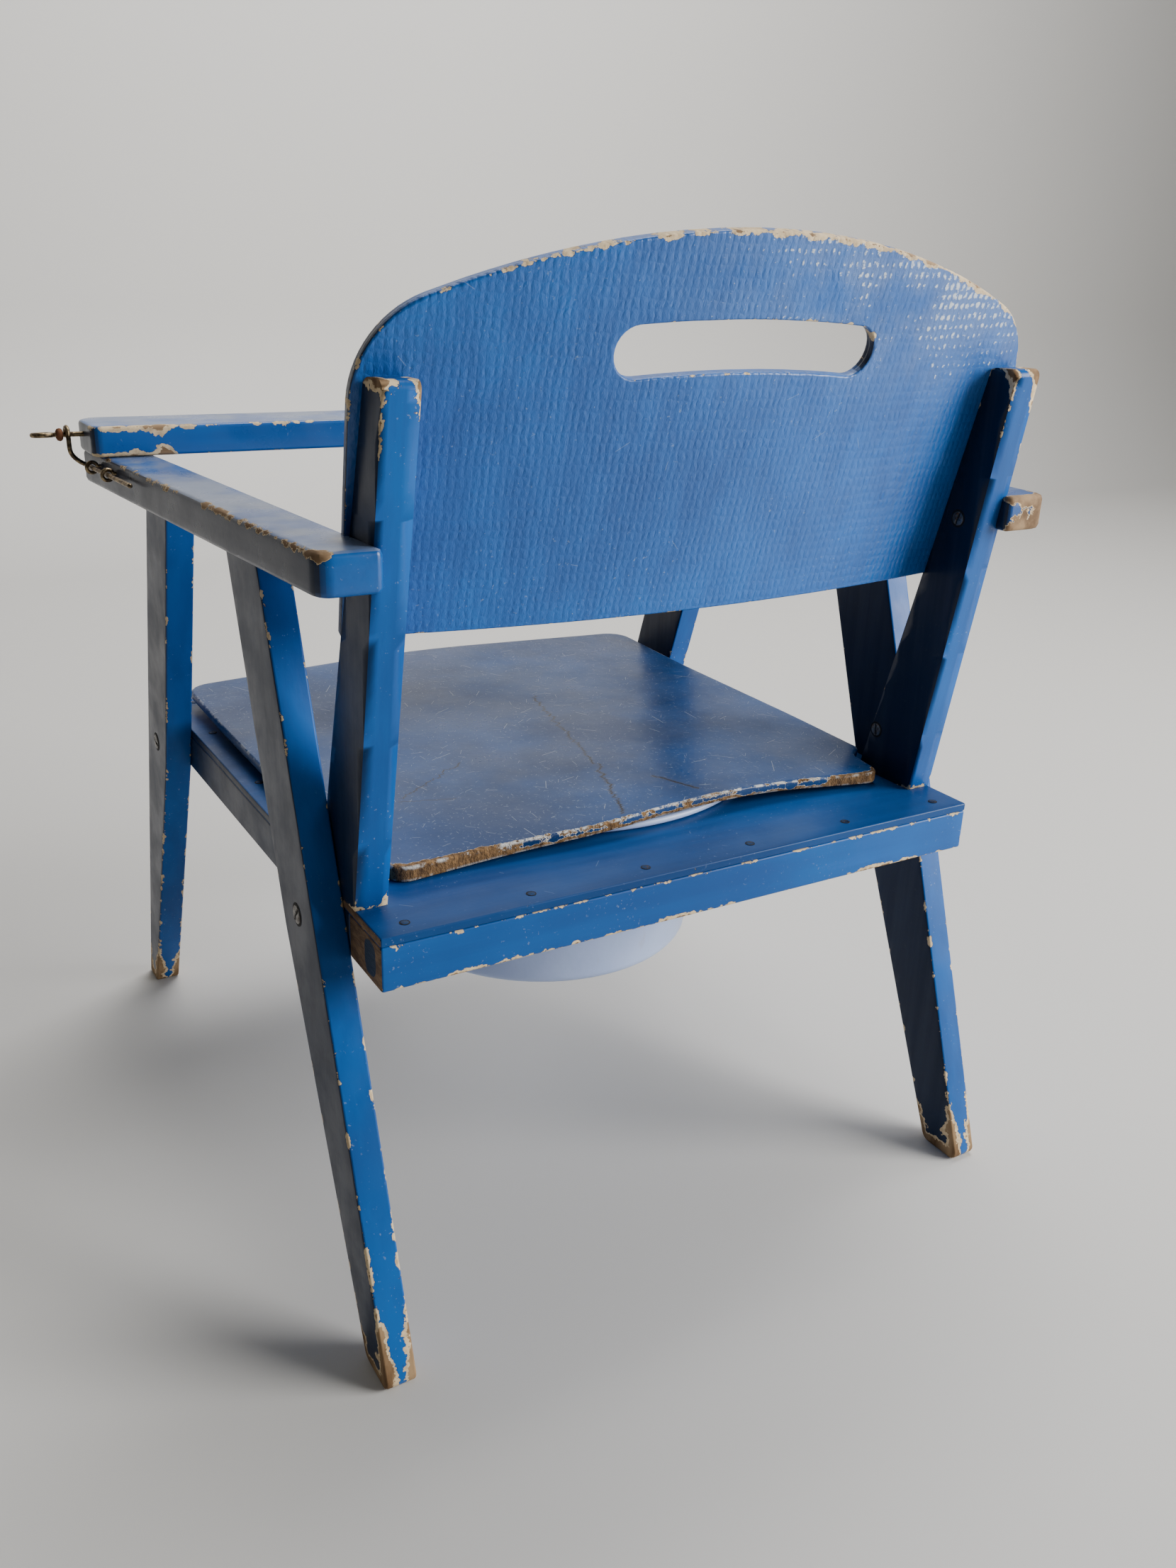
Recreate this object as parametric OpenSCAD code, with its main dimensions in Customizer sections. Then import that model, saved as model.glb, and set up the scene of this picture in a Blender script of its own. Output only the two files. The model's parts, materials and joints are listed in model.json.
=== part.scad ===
// A small child's potty chair in painted wood. Splayed plank legs carry a frame of
// rails with a nailed seat board. Two uprights stand on the board and hold a curved
// back, armrests join uprights and legs, and a guard bar turns on the right arm and
// is hooked to the left one. A potty hangs in the seat's hole under a loose lid.
// Millimetres. +Z is up, the child faces -Y and the child's left is +X. The origin is
// on the floor, in the middle plane, midway between the front and rear feet.

/* [Seat frame] */
// Width of the seat frame, over its side rails
frame_w = 312; // [255:1:380]
// Height of the seat board's top above the floor
seat_h = 198; // [160:1:240]
// Depth of the seat board, front to rear
seat_d = 324; // [300:1:390]
// How far the seat board's rear edge is behind the origin
seat_rear = 171.5; // [160:0.5:185]
// Thickness of the seat board
board_t = 4; // [3:0.5:6]
// Height of the rails under the board
rail_h = 20; // [15:1:28]
// Thickness of the side and front rails
rail_t = 18; // [12:1:22]
// Depth of the rear rail, front to rear
rear_rail_d = 34; // [24:1:40]
// Diameter of the hole in the seat board
hole_d = 198; // [160:1:206]
// How far the middle of the hole is behind the origin
hole_back = 15; // [5:1:25]

/* [Legs] */
// Thickness of the leg planks
leg_t = 14; // [10:0.5:20]
// Distance from the origin to a front leg's front edge at the seat's height
front_leg_set = 135.9; // [120:0.1:145]
// Distance from the origin to a rear leg's rear edge at the seat's height
rear_leg_set = 131.7; // [125:0.1:140]
// Lean of the front legs from upright, in degrees
front_lean = 18.2; // [14:0.1:22]
// Lean of the rear legs from upright, in degrees
rear_lean = 19.3; // [14:0.1:22]
// Width of a front leg above the seat
front_leg_w = 40; // [30:1:50]
// Width of a rear leg above the seat
rear_leg_w = 43; // [30:1:50]
// Width of a front foot
front_foot_w = 17; // [12:1:28]
// Width of a rear foot
rear_foot_w = 25; // [14:1:30]
// How far a front leg stops below the top of the arm
leg_tuck = 9; // [4:1:12]

/* [Arms] */
// Height of the top of the arms above the seat
arm_rise = 152; // [130:1:180]
// Thickness of an arm
arm_t = 16; // [12:1:22]
// Width of an arm
arm_w = 25; // [20:1:32]
// How far the arms reach behind the uprights
arm_rear_over = 4.5; // [0:0.5:12]
// How far the arms reach in front of the front legs
arm_front_over = 12; // [6:0.5:20]

/* [Back] */
// Thickness of the uprights
upright_t = 14; // [10:0.5:20]
// Height of the uprights above the seat
upright_h = 208; // [180:1:240]
// Distance from the seat's rear edge to the foot of the uprights
upright_set = 27; // [20:1:36]
// Depth of an upright at the seat
upright_foot_d = 39; // [30:1:48]
// Depth of an upright at its top
upright_top_d = 18; // [14:1:24]
// Lean of the uprights' rear edges, in degrees
upright_lean = 9.7; // [5:0.1:14]
// How far the uprights lean in towards each other, in degrees
upright_tilt = 0.8; // [0:0.1:1.5]
// Thickness of the back panel
back_t = 5; // [3:0.5:7]
// How far the back panel stands out past each upright
back_over = 2; // [0:0.5:8]
// Height of the back panel along its own face
back_h = 155; // [130:1:170]
// Height of the back panel's lower edge above the seat
back_gap = 111; // [95:1:130]
// How far the middle of the back panel is bowed to the rear
back_bow = 10; // [4:1:16]
// Radius of the arch along the top of the back panel
arch_r = 343; // [300:1:400]
// Radius of the back panel's shoulders
shoulder_r = 40; // [20:1:45]
// Length of the hand slot
slot_l = 122; // [90:1:140]
// Height of the hand slot
slot_h = 20; // [16:1:28]
// Distance from the top of the panel down to the middle of the slot
slot_drop = 42; // [34:1:56]
// Radius of the slot's gentle arch
slot_r = 520; // [400:10:800]

/* [Guard bar and hook] */
// Depth of the guard bar, front to rear
bar_d = 40; // [30:1:50]
// Thickness of the guard bar
bar_t = 14; // [10:1:20]
// How far the guard bar stands out past the arms
bar_over = 3.5; // [1:0.5:6]
// Diameter of the bar's pivot bolt
bolt_d = 6; // [5:0.5:8]
// Thickness of the wire of the screw eye and the hook
wire_d = 2.4; // [2:0.1:3]
// Outer diameter of the screw eye's ring
ring_d = 11.2; // [9:0.1:14]
// Distance of the hook's rod from the arm's outer face
rod_off = 3.6; // [3.2:0.1:6]
// Length of the hook's straight rod along the arm
rod_l = 68; // [50:1:80]

/* [Potty and lid] */
// How far the potty's rim reaches past the edge of the hole
rim_over = 13; // [8:0.5:20]
// Thickness of the potty's rim
rim_t = 3.5; // [2.5:0.5:6]
// Gap between the potty and the edge of the hole
potty_gap = 3; // [1:0.5:6]
// How far the potty's wall slants in towards its floor
potty_slant = 14; // [5:0.5:25]
// Depth of the potty below the seat's top
potty_depth = 96; // [80:1:110]
// Thickness of the potty's wall
wall_t = 2.4; // [1.5:0.1:4]
// Thickness of the lid
lid_t = 5; // [3:0.5:7]
// Distance from the lid's side edges to the sides of the seat frame
lid_side_gap = 10; // [6:0.5:20]
// Gap between the lid and the uprights, on each side
lid_post_gap = 10; // [4:0.5:20]
// How far the lid reaches in front of the seat board
lid_front_over = 7.5; // [0:0.5:12]
// Distance from the lid's rear edge to the rear edge of the seat board
lid_rear_gap = 37.5; // [33:0.5:60]

/* [Fasteners] */
// Head diameter of the leg and arm screws
screw_head_d = 9; // [7:0.5:10]
// Shank diameter of the leg and arm screws
screw_d = 4; // [3:0.5:5]
// Head diameter of the nails
nail_head_d = 5; // [4:0.5:6]
// Shank diameter of the nails
nail_d = 2; // [1.6:0.1:2.5]

/* [Clearances] */
// Gap between parts that move past each other
move_gap = 0.3; // [0.2:0.1:1]
// Radial gap round the pivot bolt
bolt_gap = 0.05; // [0.02:0.01:0.1]
// Radial gap round screws and nails
drill_gap = 0.1; // [0.05:0.05:0.3]

/* [Hidden] */
$fn = 64;
paint = "steelblue";
steel = "dimgray";
eps = 0.01;

rail_top = seat_h - board_t;
rail_bottom = rail_top - rail_h;
seat_front = seat_rear - seat_d;
half_w = frame_w / 2;
leg_out = half_w + leg_t;
back_w = frame_w + 2 * back_over;
arm_top = seat_h + arm_rise;
arm_bottom = arm_top - arm_t;

// Leg edges as straight lines: the Y of an edge at height z
function front_leg_y(z) = -front_leg_set + (z - seat_h) * tan(front_lean);
function rear_leg_y(z) = rear_leg_set - (z - seat_h) * tan(rear_lean);
front_leg_top = arm_top - leg_tuck;
foot_round = 4;
top_round = 5;

// Uprights: a rear edge that leans back, and a front edge that leans further
upright_rear = seat_rear - upright_set;
upright_foot = upright_rear - upright_foot_d;
upright_top_rear = upright_rear + upright_h * tan(upright_lean);
upright_top_front = upright_top_rear - upright_top_d;
back_lean = atan((upright_top_front - upright_foot) / upright_h);
function upright_front_y(z) = upright_foot + (z - seat_h) * tan(back_lean);
function upright_rear_y(z) = upright_rear + (z - seat_h) * tan(upright_lean);
function upright_out_x(z) = half_w - (z - seat_h) * tan(upright_tilt);

// The back panel is a strip of a large tube: the bow over its own width gives the radius
bow_r = (pow(back_w / 2, 2) + pow(back_bow, 2)) / (2 * back_bow);
back_mid_y = upright_front_y(seat_h + back_gap);
panel_reach = back_h + back_gap + 40;

// The arm's inner face runs from the upright's outer face to the front leg's
arm_y_rear = upright_front_y(arm_top);
arm_x_rear = upright_out_x(arm_top) - 0.4;
arm_y_leg = front_leg_y(front_leg_top) + front_leg_w / 2;
arm_splay = (leg_out - 0.4 - arm_x_rear) / (arm_y_rear - arm_y_leg);
function arm_in_x(y) = arm_x_rear + (arm_y_rear - y) * arm_splay;
function arm_out_x(y) = arm_in_x(y) + arm_w;
arm_rear = upright_rear_y(arm_top) + arm_rear_over;
arm_front = front_leg_y(front_leg_top) - arm_front_over;

// Guard bar
bar_z = arm_top + move_gap;
bar_front = arm_front;
bar_mid_y = bar_front + bar_d / 2;
pivot_x = -(arm_in_x(bar_mid_y) + arm_w / 2);
washer_t = 1.2;
washer_d = bolt_d * 2.2;
bolt_head_h = 3;
nut_h = 5;

// Latch: the ring lies level, on a shank in the bar's left end
ring_wire_r = ring_d / 2 - wire_d / 2;
eye_z = bar_z + bar_t * 0.62;
bar_end_x = arm_out_x(bar_mid_y) + bar_over;
ring_x = bar_end_x + 18.5;
shank_in = 12;
collar_d = wire_d + 3.6;
collar_l = 3;
rod_r = wire_d / 2;
rod_z = arm_top - 5.5;
hook_gap = 0.6;
hook_top = eye_z - collar_d / 2 - hook_gap;
hook_out = 7.5;
bend_r = 2.6;
eyelet_y = [9, 34];
eyelet_in = 9;
eyelet_ring_r = rod_r + move_gap + 1;
eyelet_wire_r = 0.9;

// Potty and lid
rim_r = hole_d / 2 + rim_over;
potty_top_r = hole_d / 2 - potty_gap;
potty_foot_r = potty_top_r - potty_slant;
lid_z = seat_h + rim_t + 2 * move_gap;
lid_x = half_w - lid_side_gap;
lid_post_x = half_w - upright_t - lid_post_gap;
lid_front = seat_front - lid_front_over;
lid_rear = seat_rear - lid_rear_gap;
notch_y = upright_foot - 5;
notch_slant = 8;
lid_corner_back = 18;
lid_edge_wave = 7;

// Where the fasteners go
screw_len = 26;
leg_screw_z = rail_top - rail_h * 0.4;
front_screw_y = front_leg_y(leg_screw_z) + front_leg_w * 0.5;
rear_screw_y = rear_leg_y(leg_screw_z) - rear_leg_w * 0.5;
upright_screw_z = seat_h + 24;
upright_screw_y = (upright_front_y(upright_screw_z) + rear_leg_y(upright_screw_z)) / 2;
arm_screw_z = arm_top - 12;
arm_screw_rear_y = (upright_front_y(arm_screw_z) + upright_rear_y(arm_screw_z)) / 2;
arm_screw_front_y = front_leg_y(arm_screw_z) + front_leg_w * 0.5;
small_scale = 0.8;
nail_len = 16;
nail_in = 9;
seat_nails_across = 6;
seat_nail_end = 14;
seat_nail_step = (frame_w - 2 * seat_nail_end) / (seat_nails_across - 1);
seat_nail_x = [for (i = [0:seat_nails_across - 1]) seat_nail_end - half_w + i * seat_nail_step];
side_nail_y = [0.2, 0.45, 0.7];
back_nail_v = [22, 48, 74];

// ---- outlines -------------------------------------------------------------

// Points of an arc, from angle a to angle b round a centre
function arc(cx, cy, r, a, b, n) =
  [for (i = [0:n]) [cx + r * cos(a + (b - a) * i / n), cy + r * sin(a + (b - a) * i / n)]];

// One rounded corner: points along the circle that touches both edges at p
function corner(a, p, b, r, n) =
  let (u = (a - p) / norm(a - p))
  let (v = (b - p) / norm(b - p))
  let (half = acos(u * v) / 2)
  let (m = (u + v) / norm(u + v))
  let (c = p + m * r / sin(half))
  let (s = p + u * r / tan(half) - c)
  let (e = p + v * r / tan(half) - c)
  r == 0 ? [p] : [for (i = [0:n]) let (d = s * (1 - i / n) + e * i / n) c + d / norm(d) * r];

// A polygon with each corner rounded by its own radius
function rounded(pts, radii, n = 6) =
  let (k = len(pts))
  [for (i = [0:k - 1]) each corner(pts[(i + k - 1) % k], pts[i], pts[(i + 1) % k], radii[i], n)];

// Turns a side-view outline, given as [y, z], into a plank from x0 to x1
module plank(outline, x0, x1) {
  translate([x0, 0, 0])
    rotate([90, 0, 90])
      linear_extrude(height = x1 - x0)
        polygon(outline);
}

// Copies to the child's right as a mirror image
module on_side(side) {
  if (side > 0) children();
  else mirror([1, 0, 0]) children();
}

// ---- fasteners ------------------------------------------------------------

// A countersunk slotted screw: its head's face at the origin, its shank along -Z
module screw(k = 1) {
  head = screw_head_d * k;
  difference() {
    union() {
      translate([0, 0, -head / 4])
        cylinder(d1 = screw_d * k, d2 = head, h = head / 4);
      translate([0, 0, -screw_len * k])
        cylinder(d = screw_d * k, h = screw_len * k);
    }
    translate([-head, -0.5, -0.9])
      cube([2 * head, 1, 2]);
  }
}

// The drilled and countersunk hole for that screw
module screw_hole(k = 1) {
  head = screw_head_d * k + 2 * drill_gap;
  translate([0, 0, -head / 4])
    cylinder(d1 = screw_d * k + 2 * drill_gap, d2 = head, h = head / 4 + eps);
  translate([0, 0, -screw_len * k - 1])
    cylinder(d = screw_d * k + 2 * drill_gap, h = screw_len * k + 2);
}

// A flat-headed nail, its head's top at the origin
module nail(len) {
  translate([0, 0, -0.8])
    cylinder(d = nail_head_d, h = 0.8);
  translate([0, 0, -len])
    cylinder(d = nail_d, h = len);
}

module nail_hole(len) {
  translate([0, 0, -0.8 - drill_gap])
    cylinder(d = nail_head_d + 2 * drill_gap, h = 2);
  translate([0, 0, -len - 1])
    cylinder(d = nail_d + 2 * drill_gap, h = len + 2);
}

// Leg screws come from outside, the others from inside; each takes a screw or its hole
module at_leg_screws() {
  for (y = [front_screw_y, rear_screw_y])
    translate([leg_out, y, leg_screw_z])
      rotate([0, 90, 0])
        rotate([0, 0, 35])
          children();
}

module at_upright_screws() {
  translate([upright_out_x(upright_screw_z) - upright_t, upright_screw_y, upright_screw_z])
    rotate([0, -90, 0])
      children();
}

module at_arm_screws() {
  translate([upright_out_x(arm_screw_z) - upright_t, arm_screw_rear_y, arm_screw_z])
    rotate([0, -90, 0])
      children();
  translate([half_w, arm_screw_front_y, arm_screw_z])
    rotate([0, -90, 0])
      children();
}

module at_seat_nails() {
  for (x = seat_nail_x)
    translate([x, seat_rear - nail_in, seat_h])
      children();
  for (x = seat_nail_x)
    translate([x, seat_front + nail_in, seat_h])
      children();
  for (s = [-1, 1])
    for (part = side_nail_y)
      translate([s * (half_w - nail_in), seat_front + part * seat_d, seat_h])
        children();
}

// ---- legs -----------------------------------------------------------------

front_leg_outline = rounded(
  [[front_leg_y(0), 0],
   [front_leg_y(0) + front_foot_w, 0],
   [front_leg_y(rail_bottom) + front_leg_w, rail_bottom],
   [front_leg_y(front_leg_top) + front_leg_w, front_leg_top],
   [front_leg_y(front_leg_top), front_leg_top]],
  [2, foot_round, 90, top_round, top_round]);

rear_leg_outline = rounded(
  [[rear_leg_y(0) - rear_foot_w, 0],
   [rear_leg_y(0), 0],
   [rear_leg_y(arm_bottom), arm_bottom],
   [rear_leg_y(arm_bottom) - rear_leg_w, arm_bottom],
   [rear_leg_y(rail_bottom) - rear_leg_w, rail_bottom]],
  [foot_round * 1.5, foot_round, 0, 0, 90]);

module front_leg(side) {
  color(paint)
    on_side(side)
      difference() {
        plank(front_leg_outline, half_w, leg_out);
        at_leg_screws() screw_hole();
        at_arm_screws() screw_hole(small_scale);
      }
}

module rear_leg(side) {
  color(paint)
    on_side(side)
      difference() {
        plank(rear_leg_outline, half_w, leg_out);
        at_leg_screws() screw_hole();
        at_upright_screws() screw_hole(small_scale);
      }
}

// ---- seat frame -----------------------------------------------------------

module side_rail(side) {
  color(paint)
    on_side(side)
      difference() {
        translate([half_w - rail_t, seat_front + rail_t, rail_bottom])
          cube([rail_t, seat_d - rail_t - rear_rail_d, rail_h]);
        at_leg_screws() screw_hole();
        at_seat_nails() nail_hole(nail_len);
      }
}

module front_rail() {
  color(paint)
    difference() {
      translate([-half_w, seat_front, rail_bottom])
        cube([frame_w, rail_t, rail_h]);
      at_seat_nails() nail_hole(nail_len);
    }
}

module rear_rail() {
  color(paint)
    difference() {
      translate([-half_w, seat_rear - rear_rail_d, rail_bottom])
        cube([frame_w, rear_rail_d, rail_h]);
      at_seat_nails() nail_hole(nail_len);
    }
}

module seat_board() {
  color(paint)
    difference() {
      translate([-half_w, seat_front, rail_top])
        cube([frame_w, seat_d, board_t]);
      translate([0, hole_back, rail_top - 1])
        cylinder(d = hole_d, h = board_t + 2);
      at_seat_nails() nail_hole(nail_len);
    }
}

// ---- back -----------------------------------------------------------------

// Puts children into the back panel's own plane: X across, Y up the face, Z forward,
// with the origin in the middle of the lower edge, on the uprights' front plane
module on_back_plane() {
  translate([0, back_mid_y, seat_h + back_gap])
    rotate([90 - back_lean, 0, 0])
      children();
}

// A tube wall whose rear surface touches the front plane at the panel's side edges
module bow_tube(r) {
  translate([0, -back_gap - 60, bow_r - back_bow])
    rotate([-90, 0, 0])
      cylinder(r = r, h = panel_reach + 80, $fn = 720);
}

back_side_top = back_h - arch_r + sqrt(pow(arch_r - shoulder_r, 2)
  - pow(back_w / 2 - shoulder_r, 2));
shoulder_turn = acos((back_w / 2 - shoulder_r) / (arch_r - shoulder_r));
back_foot_in = 3;

// The panel's front face at the nails, which stand in the middle of the uprights
back_nail_x = half_w - upright_t / 2 - 1.5;
back_nail_w = bow_r - back_bow - sqrt(pow(bow_r - back_t, 2) - pow(back_nail_x, 2));

back_outline = concat(
  [[-back_w / 2 + back_foot_in, 0], [back_w / 2 - back_foot_in, 0]],
  arc(back_w / 2 - shoulder_r, back_side_top, shoulder_r, 0, shoulder_turn, 8),
  arc(0, back_h - arch_r, arch_r, shoulder_turn, 180 - shoulder_turn, 24),
  arc(-back_w / 2 + shoulder_r, back_side_top, shoulder_r, 180 - shoulder_turn, 180, 8));

// The slot follows a wide arc and has round ends
slot_half_turn = asin((slot_l - slot_h) / 2 / slot_r);
slot_cy = back_h - slot_drop - slot_r;
slot_outline = concat(
  arc(0, slot_cy, slot_r + slot_h / 2, 90 - slot_half_turn, 90 + slot_half_turn, 10),
  arc(-slot_r * sin(slot_half_turn), slot_cy + slot_r * cos(slot_half_turn),
    slot_h / 2, 90 + slot_half_turn, 270 + slot_half_turn, 10),
  arc(0, slot_cy, slot_r - slot_h / 2, 90 + slot_half_turn, 90 - slot_half_turn, 10),
  arc(slot_r * sin(slot_half_turn), slot_cy + slot_r * cos(slot_half_turn),
    slot_h / 2, 270 - slot_half_turn, 450 - slot_half_turn, 10));

module at_back_nails() {
  for (s = [-1, 1])
    for (v = back_nail_v)
      translate([s * back_nail_x, v, back_nail_w])
        children();
}

// An outline on the back plane, cut right through the bowed panel
module through_back(outline) {
  translate([0, 0, -back_bow - 20])
    linear_extrude(height = back_bow + 60)
      polygon(outline);
}

// The bowed panel before its slot is cut
module back_blank() {
  on_back_plane()
    intersection() {
      difference() {
        bow_tube(bow_r);
        bow_tube(bow_r - back_t);
      }
      through_back(back_outline);
    }
}

module back_panel() {
  color(paint)
    difference() {
      back_blank();
      on_back_plane() through_back(slot_outline);
      on_back_plane() at_back_nails() nail_hole(nail_len);
    }
}

upright_outline = rounded(
  [[upright_foot, seat_h],
   [upright_rear, seat_h],
   [upright_top_rear, seat_h + upright_h],
   [upright_top_front, seat_h + upright_h]],
  [0, 0, 3, 8]);

// The plain upright, tilted in and cut level at its foot
module upright_blank() {
  intersection() {
    translate([half_w, 0, seat_h])
      rotate([0, -upright_tilt, 0])
        translate([-half_w, 0, -seat_h])
          plank([for (p = upright_outline) p[1] > seat_h + 1 ? p : [p[0], seat_h - 2]],
            half_w - upright_t, half_w);
    translate([0, upright_foot - 10, seat_h])
      cube([frame_w, upright_top_rear - upright_foot + 20, upright_h + 10]);
  }
}

module upright(side) {
  color(paint)
    on_side(side)
      difference() {
        upright_blank();
        on_back_plane() bow_tube(bow_r);
        at_upright_screws() screw_hole(small_scale);
        at_arm_screws() screw_hole(small_scale);
        on_back_plane() at_back_nails() nail_hole(nail_len);
      }
}

// ---- arms -----------------------------------------------------------------

arm_outline = rounded(
  [[arm_in_x(arm_front), arm_front],
   [arm_out_x(arm_front), arm_front],
   [arm_out_x(arm_rear), arm_rear],
   [arm_in_x(arm_rear), arm_rear]],
  [4, 4, 7, 3]);

module arm(side) {
  color(paint)
    on_side(side)
      difference() {
        translate([0, 0, arm_bottom])
          linear_extrude(height = arm_t)
            polygon(arm_outline);
        plank(front_leg_outline, half_w - 1, leg_out);
        upright_blank();
        back_blank();
        at_arm_screws() screw_hole(small_scale);
        if (side > 0) at_eyelets() eyelet_hole();
        if (side < 0)
          translate([-pivot_x, bar_mid_y, arm_bottom - 1])
            cylinder(d = bolt_d + 2 * bolt_gap, h = arm_t + 2);
      }
}

// ---- guard bar ------------------------------------------------------------

bar_outline = rounded(
  [[-bar_end_x, bar_front],
   [bar_end_x, bar_front],
   [bar_end_x, bar_front + bar_d],
   [-bar_end_x, bar_front + bar_d]],
  [11, 11, 5, 5]);

module guard_bar() {
  color(paint)
    difference() {
      translate([0, 0, bar_z])
        linear_extrude(height = bar_t)
          polygon(bar_outline);
      translate([pivot_x, bar_mid_y, bar_z - 1])
        cylinder(d = bolt_d + 2 * bolt_gap, h = bar_t + 2);
      translate([bar_end_x - shank_in - 0.5, bar_mid_y, eye_z])
        rotate([0, 90, 0])
          cylinder(d = wire_d + 2 * drill_gap, h = shank_in + 2);
    }
}

washer_z = bar_z + bar_t + move_gap;

module pivot_bolt() {
  color(steel)
    translate([pivot_x, bar_mid_y, 0])
      difference() {
        union() {
          translate([0, 0, washer_z + washer_t])
            cylinder(d1 = bolt_d * 1.9, d2 = bolt_d * 1.3, h = bolt_head_h);
          translate([0, 0, arm_bottom - washer_t - nut_h - 2])
            cylinder(d = bolt_d, h = washer_z + washer_t - arm_bottom + washer_t + nut_h + 3);
        }
        translate([-bolt_d, -0.6, washer_z + washer_t + bolt_head_h - 1.3])
          cube([2 * bolt_d, 1.2, 2]);
      }
}

module washer() {
  difference() {
    cylinder(d = washer_d, h = washer_t);
    translate([0, 0, -1])
      cylinder(d = bolt_d + 2 * drill_gap, h = washer_t + 2);
  }
}

module pivot_washers() {
  color(steel)
    for (z = [washer_z, arm_bottom - washer_t])
      translate([pivot_x, bar_mid_y, z])
        washer();
}

module pivot_nut() {
  color(steel)
    translate([pivot_x, bar_mid_y, arm_bottom - washer_t - nut_h])
      difference() {
        cylinder(d = bolt_d * 1.85, h = nut_h, $fn = 6);
        translate([0, 0, -1])
          cylinder(d = bolt_d + 2 * bolt_gap, h = nut_h + 2, $fn = 48);
      }
}

// ---- latch ----------------------------------------------------------------

module screw_eye() {
  color(steel)
    union() {
      translate([ring_x, bar_mid_y, eye_z])
        rotate_extrude($fn = 48)
          translate([ring_wire_r, 0])
            circle(d = wire_d, $fn = 20);
      translate([bar_end_x - shank_in, bar_mid_y, eye_z])
        rotate([0, 90, 0])
          cylinder(d = wire_d, h = ring_x - ring_wire_r - bar_end_x + shank_in);
    }
}

// A rusted collar on the eye's shank, just inside the ring
module eye_collar() {
  color(steel)
    translate([ring_x - ring_d / 2 - collar_l - 0.4, bar_mid_y, eye_z])
      rotate([0, 90, 0])
        difference() {
          cylinder(d = collar_d, h = collar_l);
          translate([0, 0, -1])
            cylinder(d = wire_d + 2 * drill_gap, h = collar_l + 2);
        }
}

// The arm's outer face at the latch: X points away from it, Y along it to the rear
module on_arm_face() {
  translate([arm_out_x(bar_mid_y), bar_mid_y, 0])
    rotate([0, 0, atan(arm_splay)])
      children();
}

module at_eyelets() {
  on_arm_face()
    for (y = eyelet_y)
      translate([rod_off, y, rod_z])
        children();
}

// A small screw eye round the rod, with its shank in the arm's outer face
module eyelet() {
  rotate([90, 0, 0])
    rotate_extrude($fn = 40)
      translate([eyelet_ring_r, 0])
        circle(r = eyelet_wire_r, $fn = 16);
  translate([-eyelet_ring_r, 0, 0])
    rotate([0, -90, 0])
      cylinder(r = eyelet_wire_r, h = eyelet_in);
}

module eyelet_hole() {
  translate([-eyelet_ring_r, 0, 0])
    rotate([0, -90, 0])
      cylinder(r = eyelet_wire_r + drill_gap, h = eyelet_in + 1);
}

module hook_eyelets() {
  color(steel)
    at_eyelets() eyelet();
}

// The rod turns in the eyelets. A round bend leads into a leg that slants up and
// outwards, and a second one into the upright tip, just under the eye's shank.
hook_slant = 35;
tip_turn = 90 - hook_slant;
leg_l = (hook_out + bend_r * (1 - cos(tip_turn)) * sin(hook_slant)) / cos(hook_slant)
  - bend_r * sin(tip_turn);
tip_z = (leg_l + bend_r * sin(tip_turn)) * sin(hook_slant)
  + bend_r * (1 - cos(tip_turn)) * cos(hook_slant);

// A bend in the XY plane: it starts on the X axis, round the origin
module hook_bend(turn) {
  rotate_extrude(angle = turn, $fn = 48)
    translate([bend_r, 0])
      circle(r = rod_r, $fn = 24);
}

module latch_hook() {
  color(steel)
    on_arm_face()
      translate([rod_off, 0, rod_z]) {
        translate([0, rod_l, 0])
          rotate([90, 0, 0])
            cylinder(r = rod_r, h = rod_l - bend_r);
        rotate([0, -hook_slant, 0]) {
          translate([bend_r, bend_r, 0])
            rotate([0, 0, 180])
              hook_bend(90);
          translate([bend_r, 0, 0])
            rotate([0, 90, 0])
              cylinder(r = rod_r, h = leg_l - bend_r);
          translate([leg_l, 0, bend_r])
            rotate([90, 0, 0])
              rotate([0, 0, -90])
                hook_bend(tip_turn);
        }
        translate([hook_out, 0, tip_z])
          cylinder(r = rod_r, h = hook_top - rod_z - tip_z);
      }
}

// ---- potty and lid --------------------------------------------------------

potty_z = seat_h - potty_depth;

// A turned bowl with a flat rim, hanging through the hole
module potty() {
  rim_z = seat_h + move_gap;
  floor_r = 4;
  color("lavender")
    translate([0, hole_back, 0])
      rotate_extrude($fn = 128)
        polygon(concat(
          [[0, potty_z], [potty_foot_r - floor_r, potty_z]],
          arc(potty_foot_r - floor_r, potty_z + floor_r, floor_r, -90, 0, 5),
          [[potty_top_r, rim_z], [rim_r - rim_t / 2, rim_z]],
          arc(rim_r - rim_t / 2, rim_z + rim_t / 2, rim_t / 2, -90, 90, 6),
          [[potty_top_r - wall_t, rim_z + rim_t],
           [potty_foot_r - wall_t, potty_z + floor_r + wall_t],
           [potty_foot_r - wall_t - floor_r, potty_z + wall_t],
           [0, potty_z + wall_t]]));
}

// Half of the lid's outline as [x, y, radius], from its front corner to its rear corner
lid_half = [
  [lid_x, lid_front + lid_corner_back, 14],
  [lid_x, notch_y, 5],
  [lid_post_x + 4, notch_y + notch_slant, 5],
  [lid_post_x, lid_rear, 9]];

lid_points = concat(
  [[0, lid_front, 400]],
  lid_half,
  [[0, lid_rear - lid_edge_wave, 60]],
  [for (i = [len(lid_half) - 1:-1:0]) [-lid_half[i][0], lid_half[i][1], lid_half[i][2]]]);

module seat_lid() {
  color(paint)
    translate([0, 0, lid_z])
      linear_extrude(height = lid_t)
        polygon(rounded([for (p = lid_points) [p[0], p[1]]], [for (p = lid_points) p[2]]));
}

// ---- fastener groups ------------------------------------------------------

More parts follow.
